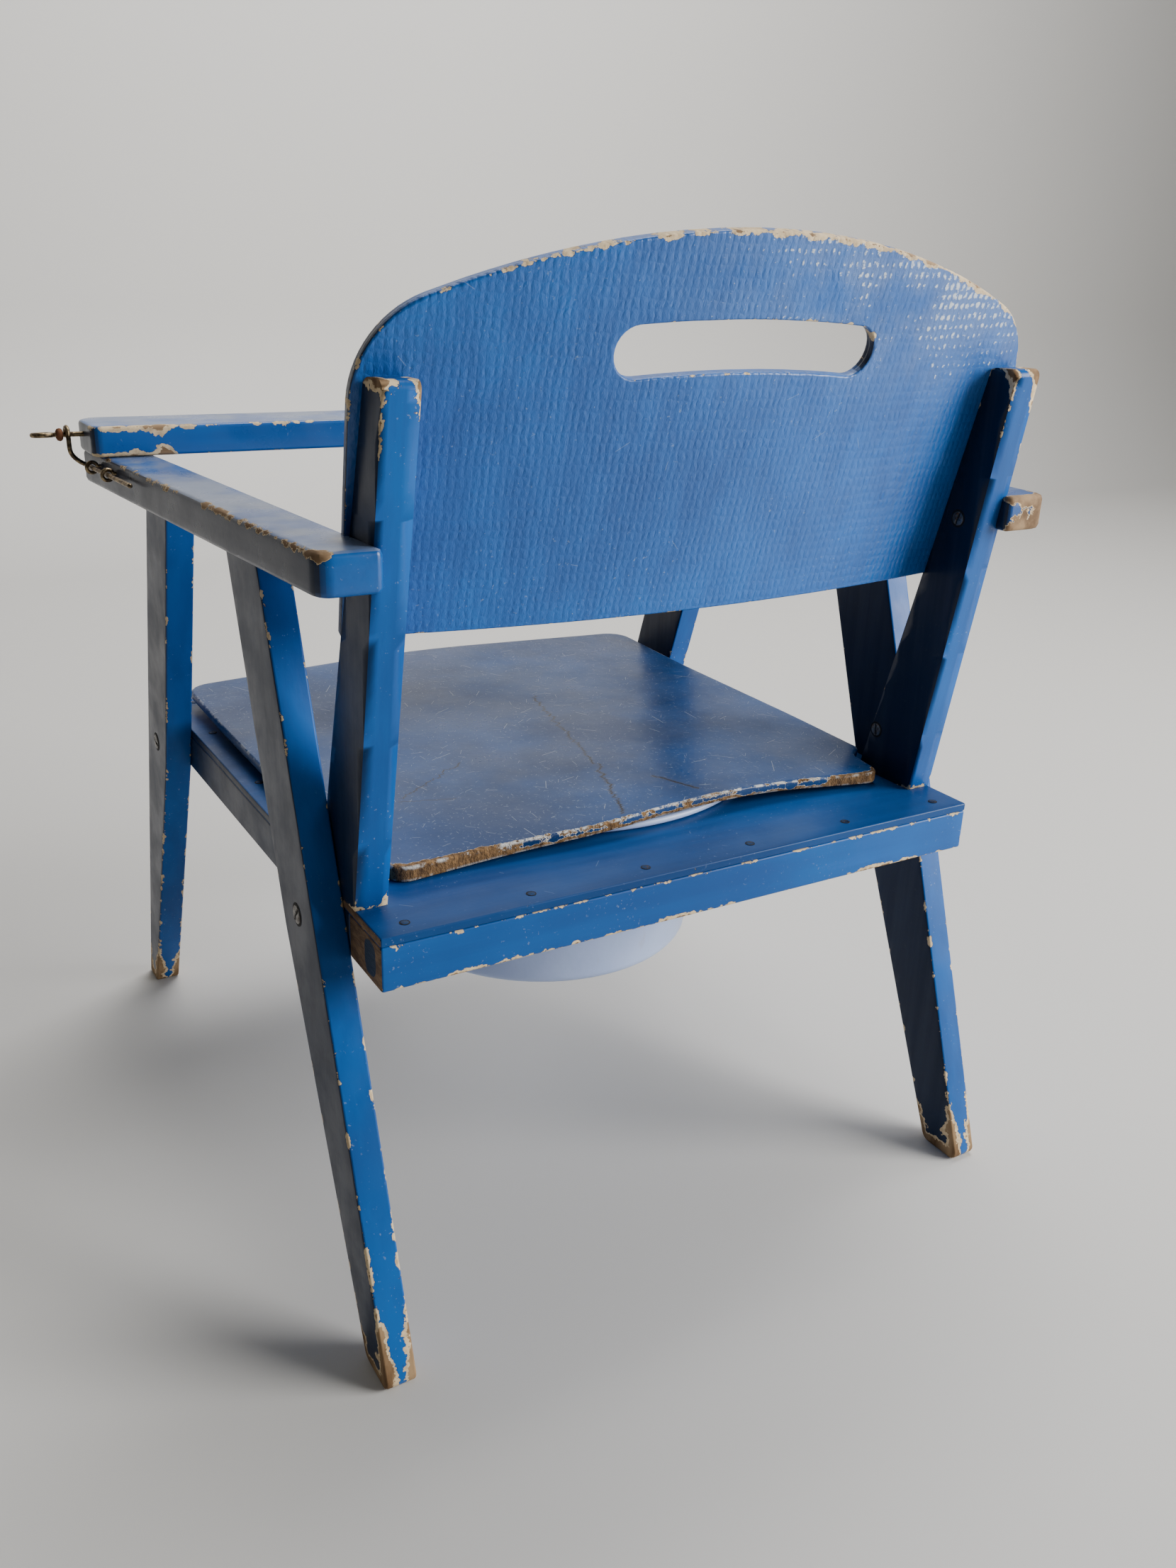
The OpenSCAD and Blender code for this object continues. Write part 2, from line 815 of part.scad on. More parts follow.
module leg_screws() {
  color(steel)
    for (s = [-1, 1])
      on_side(s) at_leg_screws() screw();
}

module upright_screws() {
  color(steel)
    for (s = [-1, 1])
      on_side(s) at_upright_screws() screw(small_scale);
}

module arm_screws() {
  color(steel)
    for (s = [-1, 1])
      on_side(s) at_arm_screws() screw(small_scale);
}

module seat_nails() {
  color(steel)
    at_seat_nails() nail(nail_len);
}

module back_nails() {
  color(steel)
    on_back_plane() at_back_nails() nail(nail_len);
}

front_leg(1);  // front_leg_left
front_leg(-1);  // front_leg_right
rear_leg(1);  // rear_leg_left
rear_leg(-1);  // rear_leg_right
side_rail(1);  // side_rail_left
side_rail(-1);  // side_rail_right
front_rail();
rear_rail();
seat_board();
upright(1);  // upright_left
upright(-1);  // upright_right
back_panel();
arm(1);  // arm_left
arm(-1);  // arm_right
leg_screws();
upright_screws();
arm_screws();
seat_nails();
back_nails();
guard_bar();
pivot_bolt();
pivot_washers();
pivot_nut();
screw_eye();
eye_collar();
hook_eyelets();
latch_hook();
seat_lid();
potty();
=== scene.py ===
# %% [markdown]
# # A worn, painted potty chair
#
# A small chair in blue painted wood: plank legs, a seat board with a potty under a
# loose lid, a curved back and a guard bar with a wire hook. The frame gives every part
# its exact size and place. This lesson makes the looks: softened edges, chipped paint
# over a cream undercoat, a woven board back and aged wire.

# %% Load the frame
import json
import math

import bmesh
import bpy
import numpy as np
from mathutils import Matrix, Vector


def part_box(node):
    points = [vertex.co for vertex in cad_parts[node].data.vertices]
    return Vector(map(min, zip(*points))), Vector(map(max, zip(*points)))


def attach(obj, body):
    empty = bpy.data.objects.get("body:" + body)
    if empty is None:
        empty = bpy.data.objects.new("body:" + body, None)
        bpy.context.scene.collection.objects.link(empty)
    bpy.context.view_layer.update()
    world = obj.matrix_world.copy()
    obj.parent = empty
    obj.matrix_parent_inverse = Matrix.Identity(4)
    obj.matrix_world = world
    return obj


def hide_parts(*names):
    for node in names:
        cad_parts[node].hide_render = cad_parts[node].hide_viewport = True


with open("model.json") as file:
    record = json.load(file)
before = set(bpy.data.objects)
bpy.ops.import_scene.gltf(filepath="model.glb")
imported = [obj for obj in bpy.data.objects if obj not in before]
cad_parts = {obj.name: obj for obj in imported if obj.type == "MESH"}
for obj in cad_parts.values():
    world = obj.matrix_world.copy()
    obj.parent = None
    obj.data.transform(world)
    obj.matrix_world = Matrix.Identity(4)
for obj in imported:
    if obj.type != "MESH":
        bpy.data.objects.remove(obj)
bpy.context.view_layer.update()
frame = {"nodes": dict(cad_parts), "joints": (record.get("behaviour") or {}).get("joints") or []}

# %% [markdown]
# ## Camera
# The chair is seen from behind and a little above, from the child's left. The camera's
# direction comes from two angles and a small roll. Building the matrix from its three
# axes keeps this readable: the first column is right, the second up, the third back.

# %% Camera
camera_azimuth = math.radians(148.7)
camera_elevation = math.radians(21.7)
camera_roll = math.radians(2.0)
camera_place = Vector((0.3242, 0.5980, 0.4455))
camera_lens = 30.47

flat = math.cos(camera_elevation)
back = Vector((
    math.sin(camera_azimuth) * flat,
    -math.cos(camera_azimuth) * flat,
    math.sin(camera_elevation),
))
level_right = Vector((-back.y, back.x, 0)).normalized()
level_up = back.cross(level_right)
right = level_right * math.cos(camera_roll) + level_up * math.sin(camera_roll)
up = back.cross(right)

camera_data = bpy.data.cameras.new("camera")
camera_data.lens = camera_lens
camera_data.sensor_fit = "VERTICAL"
camera_data.sensor_height = 36
camera_data.clip_start = 0.02
camera = bpy.data.objects.new("camera", camera_data)
turn = Matrix((right, up, back)).transposed().to_4x4()
camera.matrix_world = Matrix.Translation(camera_place) @ turn
bpy.context.scene.collection.objects.link(camera)
bpy.context.scene.camera = camera
print("camera right", right, "up", up)

# %% [markdown]
# ## Stage and light
# A broad soft panel stands for a window behind the chair on the child's right, so the
# faces towards it are bright and the faces on the child's left stay dark. The pale floor
# sweeps up into a wall, which the level tops of the arms mirror at a low angle. A dim,
# even surround fills the shadows.

# %% Floor
def simple_material(name, colour, roughness):
    material = bpy.data.materials.new(name)
    material.use_nodes = True
    surface = material.node_tree.nodes["Principled BSDF"]
    surface.inputs["Base Color"].default_value = (*colour, 1)
    surface.inputs["Roughness"].default_value = roughness
    return material


floor_mesh = bpy.data.meshes.new("floor")
floor_reach, wall_line, sweep = 5, -1.7, 0.35
profile = [(floor_reach, 0.0), (wall_line + sweep, 0.0)]
for step in range(1, 13):
    angle = math.pi / 2 * step / 12
    profile.append((wall_line + sweep - sweep * math.sin(angle), sweep - sweep * math.cos(angle)))
profile.append((wall_line, 3.2))
corners = [(x, y, z) for y, z in profile for x in (-floor_reach, floor_reach)]
strips = [(i, i + 1, i + 3, i + 2) for i in range(0, len(corners) - 2, 2)]
floor_mesh.from_pydata(corners, [], strips)
for face in floor_mesh.polygons:
    face.use_smooth = True
floor = bpy.data.objects.new("floor", floor_mesh)
floor_mesh.materials.append(simple_material("pale floor", (0.60, 0.59, 0.57), 0.6))
bpy.context.scene.collection.objects.link(floor)

# %% Lights
def soft_panel(name, place, target, size, power, colour=(1, 1, 1)):
    light = bpy.data.lights.new(name, "AREA")
    light.size = size
    light.energy = power
    light.color = colour
    holder = bpy.data.objects.new(name, light)
    holder.location = place
    aim = Vector(target) - Vector(place)
    holder.rotation_euler = aim.to_track_quat("-Z", "Y").to_euler()
    bpy.context.scene.collection.objects.link(holder)


seat_middle = (0, 0, 0.25)
soft_panel("window", (-1.5, 1.25, 0.9), seat_middle, 1.1, 72, (1.0, 0.99, 0.97))
soft_panel("wall light", (-0.7, -0.5, 2.3), (-0.2, wall_line, 0.9), 1.4, 60, (1.0, 0.99, 0.98))

world = bpy.data.worlds.new("surround")
bpy.context.scene.world = world
world.use_nodes = True
world.node_tree.nodes["Background"].inputs["Color"].default_value = (0.78, 0.8, 0.82, 1)
world.node_tree.nodes["Background"].inputs["Strength"].default_value = 0.11

# %% [markdown]
# ## Shapes
# Each plank of the real chair was sawn, sanded and painted, so its edges are a little
# round. The frame's planks have sharp edges and screw holes. One way is to round each
# one by hand. Here a hull is stretched tightly round a plank's corners instead: it has
# the plank's exact size, no holes, and its edges can be bevelled all at once.

# %% Wrap a plank
def cleaned(shape):
    bmesh.ops.dissolve_limit(
        shape, angle_limit=math.radians(1.2), verts=shape.verts, edges=shape.edges)
    bmesh.ops.recalc_face_normals(shape, faces=shape.faces)
    return shape


def wrapped(node):
    shape = bmesh.new()
    for vertex in frame["nodes"][node].data.vertices:
        shape.verts.new(vertex.co)
    bmesh.ops.remove_doubles(shape, verts=shape.verts, dist=3e-5)
    bmesh.ops.convex_hull(shape, input=shape.verts)
    inside = [vertex for vertex in shape.verts if not vertex.link_faces]
    bmesh.ops.delete(shape, geom=inside, context="VERTS")
    return cleaned(shape)


def copied(node):
    shape = bmesh.new()
    shape.from_mesh(frame["nodes"][node].data)
    bmesh.ops.remove_doubles(shape, verts=shape.verts, dist=3e-5)
    return cleaned(shape)


# %% [markdown]
# ## Wear follows the edges
# Paint chips where hands, floors and shoes rub: on edges, corners and feet. The finish
# needs to know how far each point is from an edge, so every piece carries that distance
# as an attribute called `edge`. A second one, `worn`, says how rubbed the place is, and
# a third, `bare`, where no paint is left at all. Thin cuts across the faces give the
# attributes enough points to be smooth. Later each face also notes whether it looks to
# the child's left, away from the window, where the finish paints it dark as painted shade,
# and whether it is level, where a grey film is painted, partly as dust and partly as
# painted sheen.

# %% Measure the wear
def sharp_edges(shape, least=math.radians(38)):
    return [
        edge for edge in shape.edges
        if len(edge.link_faces) == 2 and edge.calc_face_angle(0) > least]


def edge_lines(shape):
    return [(edge.verts[0].co.copy(), edge.verts[1].co.copy()) for edge in sharp_edges(shape)]


def distance_to_lines(points, lines):
    nearest = np.full(len(points), 1.0)
    for start, end in lines:
        start = np.array(start)
        along = np.array(end) - start
        share = np.clip((points - start) @ along / max(along @ along, 1e-12), 0, 1)
        gap = np.linalg.norm(points - start - share[:, None] * along, axis=1)
        nearest = np.minimum(nearest, gap)
    return nearest


def spot_strength(points, spots):
    total = np.zeros(len(points))
    for place, reach, amount in spots:
        gap = np.linalg.norm((points - np.array(place)) / np.array(reach), axis=1)
        total += amount * np.exp(-gap ** 2)
    return total


# %% Bevel and slice
def bevelled(shape, arris, rings=2):
    bmesh.ops.bevel(
        shape, geom=sharp_edges(shape), offset=arris, segments=rings, profile=0.5,
        affect="EDGES", clamp_overlap=True)
    return shape


def sliced(shape, cell):
    bmesh.ops.triangulate(shape, faces=[f for f in shape.faces if len(f.verts) > 4])
    places = np.array([vertex.co for vertex in shape.verts])
    low, high = places.min(0), places.max(0)
    for axis in range(3):
        count = int((high[axis] - low[axis]) / cell)
        normal = [0, 0, 0]
        normal[axis] = 1
        for step in range(1, count + 1):
            place = list(low)
            place[axis] = low[axis] + (high[axis] - low[axis]) * step / (count + 1)
            everything = shape.verts[:] + shape.edges[:] + shape.faces[:]
            bmesh.ops.bisect_plane(
                shape, geom=everything, dist=1e-6, plane_co=place, plane_no=normal)
    bmesh.ops.remove_doubles(shape, verts=shape.verts, dist=4e-6)
    return shape


# %% [markdown]
# A finished shape becomes an object here. Flat faces next to a bevel would shade as if
# they were swollen, so a Weighted Normal modifier lets the large faces decide, and its
# result is kept as plain mesh data.

# %% Make a piece
def add_attribute(mesh, name, values):
    attribute = mesh.attributes.new(name, "FLOAT", "POINT")
    attribute.data.foreach_set("value", np.asarray(values, np.float32))


def plain_mesh(holder, name):
    bpy.context.view_layer.update()
    evaluated = holder.evaluated_get(bpy.context.evaluated_depsgraph_get())
    mesh = bpy.data.meshes.new_from_object(evaluated)
    mesh.name = name
    holder.modifiers.clear()
    holder.data = mesh
    return holder


def as_object(shape, name, smooth=True):
    mesh = bpy.data.meshes.new(name)
    shape.to_mesh(mesh)
    shape.free()
    holder = bpy.data.objects.new(name, mesh)
    bpy.context.scene.collection.objects.link(holder)
    for face in mesh.polygons:
        face.use_smooth = smooth
    return holder


def mark_sides(mesh):
    """Each face notes how far it looks to the child's left, and how far it looks up."""
    normals = np.array([face.normal for face in mesh.polygons])
    for name, axis in (("to_left", 0), ("level", 2)):
        attribute = mesh.attributes.new(name, "FLOAT", "FACE")
        share = np.clip((normals[:, axis] - 0.45) / 0.35, 0, 1)
        attribute.data.foreach_set("value", share.astype(np.float32))


def keep_flat_faces(holder):
    normals = holder.modifiers.new("flat faces", "WEIGHTED_NORMAL")
    normals.weight = 50
    return plain_mesh(holder, holder.name)


def place_piece(holder, body, nodes, material=None):
    if material:
        holder.data.materials.append(material)
    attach(holder, body)
    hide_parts(*nodes)
    return holder


def worn_piece(shape, name, worn=0.3, spots=(), bare=(), cell=0.008, arris=0.0011, after=None):
    lines = edge_lines(shape)
    holder = as_object(sliced(bevelled(shape, arris), cell), name)
    places = np.array([vertex.co for vertex in holder.data.vertices])
    add_attribute(holder.data, "edge", distance_to_lines(places, lines))
    add_attribute(holder.data, "worn", worn + spot_strength(places, spots))
    add_attribute(holder.data, "bare", spot_strength(places, bare))
    if after:
        for vertex in holder.data.vertices:
            vertex.co = after(vertex.co)
    mark_sides(holder.data)
    return keep_flat_faces(holder)


# %% [markdown]
# ## Node helpers
# A finish is a long sum of node values. Written out as Math nodes it would be hard to
# read, so a small class wraps a node's output and lets it be added and multiplied like
# a number. A second class makes the nodes that the finishes below need most.

# %% Node helpers
class Value:
    """A node's output that can be used in sums."""

    def __init__(self, finish, socket):
        self.finish = finish
        self.socket = socket

    def __add__(self, other):
        return self.finish.sum("ADD", self, other)

    def __sub__(self, other):
        return self.finish.sum("SUBTRACT", self, other)

    def __rsub__(self, other):
        return self.finish.sum("SUBTRACT", other, self)

    def __mul__(self, other):
        return self.finish.sum("MULTIPLY", self, other)

    def __truediv__(self, other):
        return self.finish.sum("DIVIDE", self, other)

    __radd__ = __add__
    __rmul__ = __mul__


class Finish:
    """A material under construction: its tree and shortcuts for the nodes it uses."""

    def __init__(self, name):
        self.material = bpy.data.materials.new(name)
        self.material.use_nodes = True
        self.tree = self.material.node_tree
        self.surface = self.tree.nodes["Principled BSDF"]
        self.place = self.node("ShaderNodeTexCoord").outputs["Object"]

    def node(self, kind, **settings):
        made = self.tree.nodes.new(kind)
        for key, value in settings.items():
            setattr(made, key, value)
        return made

    def feed(self, socket, value):
        if isinstance(value, Value):
            value = value.socket
        if isinstance(value, bpy.types.NodeSocket):
            self.tree.links.new(value, socket)
        elif isinstance(value, tuple) and socket.type == "RGBA":
            socket.default_value = (*value[:3], 1)
        else:
            socket.default_value = value

    def set(self, name, value):
        self.feed(self.surface.inputs[name], value)

    def axes(self):
        """The x, y and z of a point of the piece."""
        made = self.node("ShaderNodeSeparateXYZ")
        self.feed(made.inputs[0], self.place)
        return [Value(self, output) for output in made.outputs]

    def pair(self, first, second):
        made = self.node("ShaderNodeCombineXYZ")
        self.feed(made.inputs[0], first)
        self.feed(made.inputs[1], second)
        return made.outputs[0]

    def sum(self, operation, *values, clamp=False):
        made = self.node("ShaderNodeMath", operation=operation, use_clamp=clamp)
        for socket, value in zip(made.inputs, values):
            self.feed(socket, value)
        return Value(self, made.outputs[0])

    def vector(self, operation, *values):
        made = self.node("ShaderNodeVectorMath", operation=operation)
        for socket, value in zip(made.inputs, values):
            self.feed(socket, value)
        output = "Value" if operation == "DOT_PRODUCT" else "Vector"
        return made.outputs[output]

    def step(self, value, low, high):
        made = self.node("ShaderNodeMapRange", interpolation_type="SMOOTHSTEP")
        self.feed(made.inputs["Value"], value)
        self.feed(made.inputs["From Min"], low)
        self.feed(made.inputs["From Max"], high)
        return Value(self, made.outputs["Result"])

    def noise(self, scale, detail=4.0, rough=0.5, stretch=(1, 1, 1), turn=(0, 0, 0), shift=0.0):
        mapping = self.node("ShaderNodeMapping")
        self.feed(mapping.inputs["Vector"], self.place)
        mapping.inputs["Scale"].default_value = stretch
        mapping.inputs["Rotation"].default_value = turn
        mapping.inputs["Location"].default_value = (shift, shift * 0.7, shift * 1.3)
        made = self.node("ShaderNodeTexNoise")
        self.feed(made.inputs["Vector"], mapping.outputs["Vector"])
        made.inputs["Scale"].default_value = scale
        made.inputs["Detail"].default_value = detail
        made.inputs["Roughness"].default_value = rough
        return Value(self, made.outputs["Fac"])

    def attribute(self, name):
        return Value(self, self.node("ShaderNodeAttribute", attribute_name=name).outputs["Fac"])

    def mix(self, share, first, second):
        made = self.node("ShaderNodeMix", data_type="RGBA")
        self.feed(made.inputs[0], share)
        self.feed(made.inputs[6], first)
        self.feed(made.inputs[7], second)
        return Value(self, made.outputs[2])

    def bump(self, height, depth):
        made = self.node("ShaderNodeBump")
        made.inputs["Distance"].default_value = depth
        self.feed(made.inputs["Height"], height)
        return made.outputs["Normal"]


# %% [markdown]
# ## Short scratches
# A scratch is a thin line at a random angle. A Voronoi texture hands out one random
# cell after another, so each cell can hold one scratch: the distance across the line
# and along it, in a direction chosen by the cell's own random colour, gives its mask.

# %% Scratches
def scratches(finish, plane, spacing, width, length, share, shift=0.0):
    axes = finish.axes()
    spread = finish.pair(*(axes[axis] * (1 / spacing) + (40.0 + shift) for axis in plane))
    cells = finish.node("ShaderNodeTexVoronoi", voronoi_dimensions="2D", feature="F1")
    finish.feed(cells.inputs["Vector"], spread)
    cells.inputs["Scale"].default_value = 1.0
    chance = finish.node("ShaderNodeSeparateColor")
    finish.feed(chance.inputs[0], cells.outputs["Color"])
    turn, size, luck = (Value(finish, output) for output in chance.outputs)
    offset = finish.vector("SUBTRACT", spread, cells.outputs["Position"])
    sine = finish.sum("SINE", turn * (2 * math.pi))
    cosine = finish.sum("COSINE", turn * (2 * math.pi))
    side = finish.vector("DOT_PRODUCT", offset, finish.pair(cosine, sine))
    reach = finish.vector("DOT_PRODUCT", offset, finish.pair(sine * -1.0, cosine))
    thin = finish.step(finish.sum("ABSOLUTE", side), width / spacing, 0.2 * width / spacing)
    short = finish.sum("LESS_THAN", finish.sum("ABSOLUTE", reach), size * (length / spacing))
    return thin * short * finish.sum("LESS_THAN", luck, share)


# %% [markdown]
# ## Worn paint
# The paint is a stack of layers: bare wood, a cream undercoat and blue gloss. One value
# decides which layer shows. It is random noise, raised where the piece is `worn` or
# `bare`, and lowered with the distance from the `edge`. Above zero the blue is gone,
# and a little higher the undercoat is gone too.

# %% Worn paint
cream = (0.74, 0.58, 0.36)
cream_dirty = (0.5, 0.37, 0.22)
wood_pale = (0.36, 0.235, 0.125)
wood_dark = (0.13, 0.07, 0.03)
blue = (0.003, 0.118, 0.43)
blue_deep = (0.002, 0.062, 0.25)
paint_hold = 1.17


def chip_level(finish, reach, scale):
    coarse = finish.step(finish.noise(scale, 5.0, 0.62, shift=1.3), 0.3, 0.7)
    fine = finish.noise(scale * 4.2, 3.0, 0.6, shift=4.1)
    chance = fine * 0.34 + coarse * 0.83
    level = chance + finish.attribute("worn") - finish.attribute("edge") / reach
    return level + finish.attribute("bare") * 1.6 - paint_hold


def grain(finish, stretch, turn):
    streak = finish.noise(90, 4.0, 0.6, stretch, turn)
    return finish.step(streak, 0.32, 0.68)


def painted(name, stretch=(1, 1, 0.06), turn=(0, 0, 0), reach=0.005, chip_scale=110,
            undercoat=0.3, plane=(0, 2), tone=1.0, dust=0.0, gloss=0.3,
            mirror=0.25, height=None, shown=None):
    finish = Finish(name)
    level = chip_level(finish, reach, chip_scale)
    chipped = finish.step(level, 0.0, 0.025)
    to_wood = finish.step(level, undercoat, undercoat + 0.08)

    cloud = finish.step(finish.noise(9, 3.0, 0.6, shift=7.0), 0.3, 0.75)
    streak = grain(finish, stretch, turn)
    deep = tuple(part * tone for part in blue_deep)
    bright = tuple(part * tone for part in blue)
    coat = finish.mix(cloud * 0.65 + streak * 0.3, deep, bright)
    speck = finish.step(finish.noise(620, 2.0, 0.6, shift=2.0), 0.67, 0.71)
    patch = finish.step(finish.noise(24, 3.0, 0.6, shift=5.0), 0.42, 0.62)
    dusty = speck * patch * 0.3
    coat = finish.mix(dusty, coat, (0.34, 0.44, 0.58))
    # On the back, these pale marks are partly rubbed paint and partly painted glints and sheen.
    if shown:
        coat = finish.mix(shown(finish), coat, (0.62, 0.68, 0.74))
    # A grey film in patches on level faces: partly dust, partly a painted sheen where the tops
    # mirror the pale wall at a low angle.
    film = patch * finish.attribute("level") * dust
    coat = finish.mix(film, coat, (0.25, 0.28, 0.32))
    line = scratches(finish, plane, 0.019, 0.00018, 0.0035, 0.25)
    coat = finish.mix(line * 0.3, coat, (0.36, 0.46, 0.6))
    # Painted shade: faces that look to the child's left, away from the window, are painted near
    # black grey.
    painted_shade = finish.mix(streak, (0.005, 0.006, 0.008), (0.02, 0.02, 0.02))
    coat = finish.mix(finish.attribute("to_left") * 0.88, coat, painted_shade)

    cream_tone = finish.mix(finish.step(finish.noise(210, 4.0, 0.7), 0.4, 0.7), cream, cream_dirty)
    wood_tone = finish.mix(streak, wood_dark, wood_pale)
    ground = finish.mix(to_wood, cream_tone, wood_tone)
    colour = finish.mix(chipped, coat, ground)
    rim = finish.step(level, -0.05, 0.0) * (1.0 - chipped)
    colour = finish.mix(rim * 0.55, colour, (0.02, 0.025, 0.035))
    finish.set("Base Color", colour)

    smear = finish.step(finish.noise(40, 4.0, 0.6, shift=3.0), 0.3, 0.7)
    shine = smear * 0.14 + gloss
    rough = finish.node("ShaderNodeMix", data_type="FLOAT")
    finish.feed(rough.inputs[0], chipped)
    finish.feed(rough.inputs[2], shine)
    rough.inputs[3].default_value = 0.82
    finish.set("Roughness", rough.outputs[0])

    film_height = (1.0 - chipped) * 0.5
    brushed = streak * 0.09
    ripple = finish.noise(300, 3.0, 0.6, shift=6.0) * 0.1
    relief = film_height + brushed + ripple
    if height:
        relief = relief + height(finish)
    finish.set("Normal", finish.bump(relief, 0.0004))
    finish.set("Specular IOR Level", mirror)
    return finish.material


# %% [markdown]
# ## Planks
# Every plank takes the same paint with its own grain direction: the legs and uprights
# lean, so the streaks are turned by the same angle. Where each one is rubbed is told by
# a few round spots, placed from the plank's own box.

# %% Paint for each direction of grain
front_lean = math.radians(18.2)
rear_lean = math.radians(19.3)
upright_lean = math.radians(12.5)
lengthways = (1, 1, 0.05)

paint_front_leg = painted("front leg paint", lengthways, (front_lean, 0, 0), plane=(1, 2))
paint_rear_leg = painted("rear leg paint", lengthways, (-rear_lean, 0, 0), plane=(1, 2))
paint_upright = painted("upright paint", lengthways, (upright_lean, 0, 0), plane=(1, 2))
paint_rail = painted("rail paint", (0.05, 1, 1), plane=(0, 2))
paint_side_rail = painted("side rail paint", (1, 0.05, 1), plane=(1, 2))
# The arm and bar tops take the grey film: dust in part, and in part a painted sheen of the pale
# wall.
paint_arm = painted("arm paint", (1, 0.05, 1), reach=0.0065, undercoat=0.05, plane=(0, 1),
                    tone=0.9, dust=0.6, gloss=0.24, mirror=0.45)
paint_bar = painted("bar paint", (0.05, 1, 1), reach=0.0055, undercoat=0.5, dust=0.6,
                    gloss=0.24, mirror=0.5)
# The seat's blue is painted darker: painted shade from the back, the lid and the uprights above
# it.
paint_seat = painted("seat paint", (0.05, 1, 1), plane=(0, 1), tone=0.62, mirror=0.2)
print("paints:", len([m for m in bpy.data.materials if "paint" in m.name]))

# %% Legs
def foot_spots(node):
    low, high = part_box(node)
    toe = low.y if "front" in node else high.y
    inward = 1 if "front" in node else -1
    middle = ((low.x + high.x) / 2, toe + inward * 0.010, 0.0)
    return [(middle, (0.03, 0.03, 0.026), 0.85)]


def leg(node, material):
    low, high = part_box(node)
    lower_half = ((low.x + high.x) / 2, (low.y + high.y) / 2, 0.06)
    rubbed = [(lower_half, (0.03, 0.15, 0.10), 0.16)]
    piece = worn_piece(wrapped(node), "worn_" + node, 0.47, rubbed, foot_spots(node))
    return place_piece(piece, "frame", [node], material)


for side in ("left", "right"):
    leg("front_leg_" + side, paint_front_leg)
    leg("rear_leg_" + side, paint_rear_leg)
print("legs made")

# %% Uprights
foot_rear_y = 0.144
for side in ("left", "right"):
    node = "upright_" + side
    low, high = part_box(node)
    outer = high.x if side == "left" else low.x
    top = (outer * 0.97, high.y - 0.006, high.z)
    foot_edge = (outer * 0.97, foot_rear_y, low.z)
    rim = ((low.x + high.x) / 2, high.y, high.z - 0.001)
    bare = [(top, (0.012, 0.009, 0.008), 0.5), (foot_edge, (0.03, 0.004, 0.0025), 0.45),
            (rim, (0.02, 0.010, 0.005), 0.17)]
    rubbed = [(top, (0.03, 0.03, 0.03), 0.3), (rim, (0.03, 0.02, 0.03), 0.18)]
    piece = worn_piece(wrapped(node), "worn_" + node, 0.2, rubbed, bare)
    place_piece(piece, "frame", [node], paint_upright)
print("uprights made")

# %% [markdown]
# The rear rail's ends were never painted over: their end grain is bare and brown, with
# one dark patch of paint left on it. The end faces get a material of their own.

# %% Bare rail ends
def bare_end(name):
    finish = Finish(name)
    _, y, z = finish.axes()
    low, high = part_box("rear_rail")
    middle_y = high.y - 0.0115
    middle_z = (low.z + high.z) / 2 + 0.0005
    across = (y - middle_y) / 0.0058
    upward = (z - middle_z) / 0.0078
    radius = (finish.sum("POWER", finish.sum("ABSOLUTE", across), 3.0)
              + finish.sum("POWER", finish.sum("ABSOLUTE", upward), 3.0))
    wobble = finish.noise(260, 3.0) * 0.5 + radius
    patch = finish.step(wobble, 1.3, 1.15)
    rings = finish.step(finish.noise(330, 4.0, 0.65, (1, 0.35, 1)), 0.3, 0.7)
    wood = finish.mix(rings, (0.10, 0.055, 0.028), (0.27, 0.165, 0.085))
    stain = finish.step(finish.noise(60, 3.0, 0.6, shift=9.0), 0.4, 0.7)
    wood = finish.mix(stain * 0.5, wood, (0.06, 0.035, 0.02))
    finish.set("Base Color", finish.mix(patch, wood, (0.008, 0.028, 0.07)))
    finish.set("Roughness", 0.78)
    finish.set("Normal", finish.bump(rings, 0.0003))
    return finish.material


bare_wood_end = bare_end("bare end grain")


def give_ends(piece, material, rear_of=0.132):
    """Side faces behind the uprights take the given material."""
    piece.data.materials.append(material)
    for face in piece.data.polygons:
        if abs(face.normal.x) > 0.9 and face.center.y > rear_of:
            face.material_index = len(piece.data.materials) - 1


# %% Rails
def rail(node, material, worn, spots=()):
    piece = worn_piece(wrapped(node), "worn_" + node, worn, spots)
    return place_piece(piece, "frame", [node], material)


low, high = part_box("rear_rail")
lower_edge = [((x, high.y, low.z), (0.045, 0.01, 0.006), 0.55) for x in (0.115, 0.02, -0.11)]
seam = [((x, high.y, high.z), (0.05, 0.008, 0.0022), 0.26) for x in (0.12, 0.03, -0.06, -0.14)]
rear_rail = rail("rear_rail", paint_rail, 0.36, lower_edge + seam)
give_ends(rear_rail, bare_wood_end)
rail("front_rail", paint_rail, 0.28)
for side in ("left", "right"):
    rail("side_rail_" + side, paint_side_rail, 0.2)
print("rails made")

# %% [markdown]
# ## Seat board
# A thin board with a round hole for the potty. Filling the space between a rectangle
# and a circle gives its face, and pulling that face upwards gives its thickness.

# %% Seat board
def filled_outline(loops, z):
    shape = bmesh.new()
    for loop in loops:
        ring = [shape.verts.new((x, y, z)) for x, y in loop]
        for index, vertex in enumerate(ring):
            shape.edges.new((vertex, ring[(index + 1) % len(ring)]))
    bmesh.ops.triangle_fill(shape, use_beauty=True, use_dissolve=False, edges=shape.edges)
    return shape


def thickened(shape, thickness):
    grown = bmesh.ops.extrude_face_region(shape, geom=shape.faces[:])
    moved = [item for item in grown["geom"] if isinstance(item, bmesh.types.BMVert)]
    bmesh.ops.translate(shape, verts=moved, vec=(0, 0, thickness))
    return cleaned(shape)


def circle(centre, radius, count):
    angles = [2 * math.pi * index / count for index in range(count)]
    return [(centre[0] + radius * math.cos(a), centre[1] + radius * math.sin(a)) for a in angles]


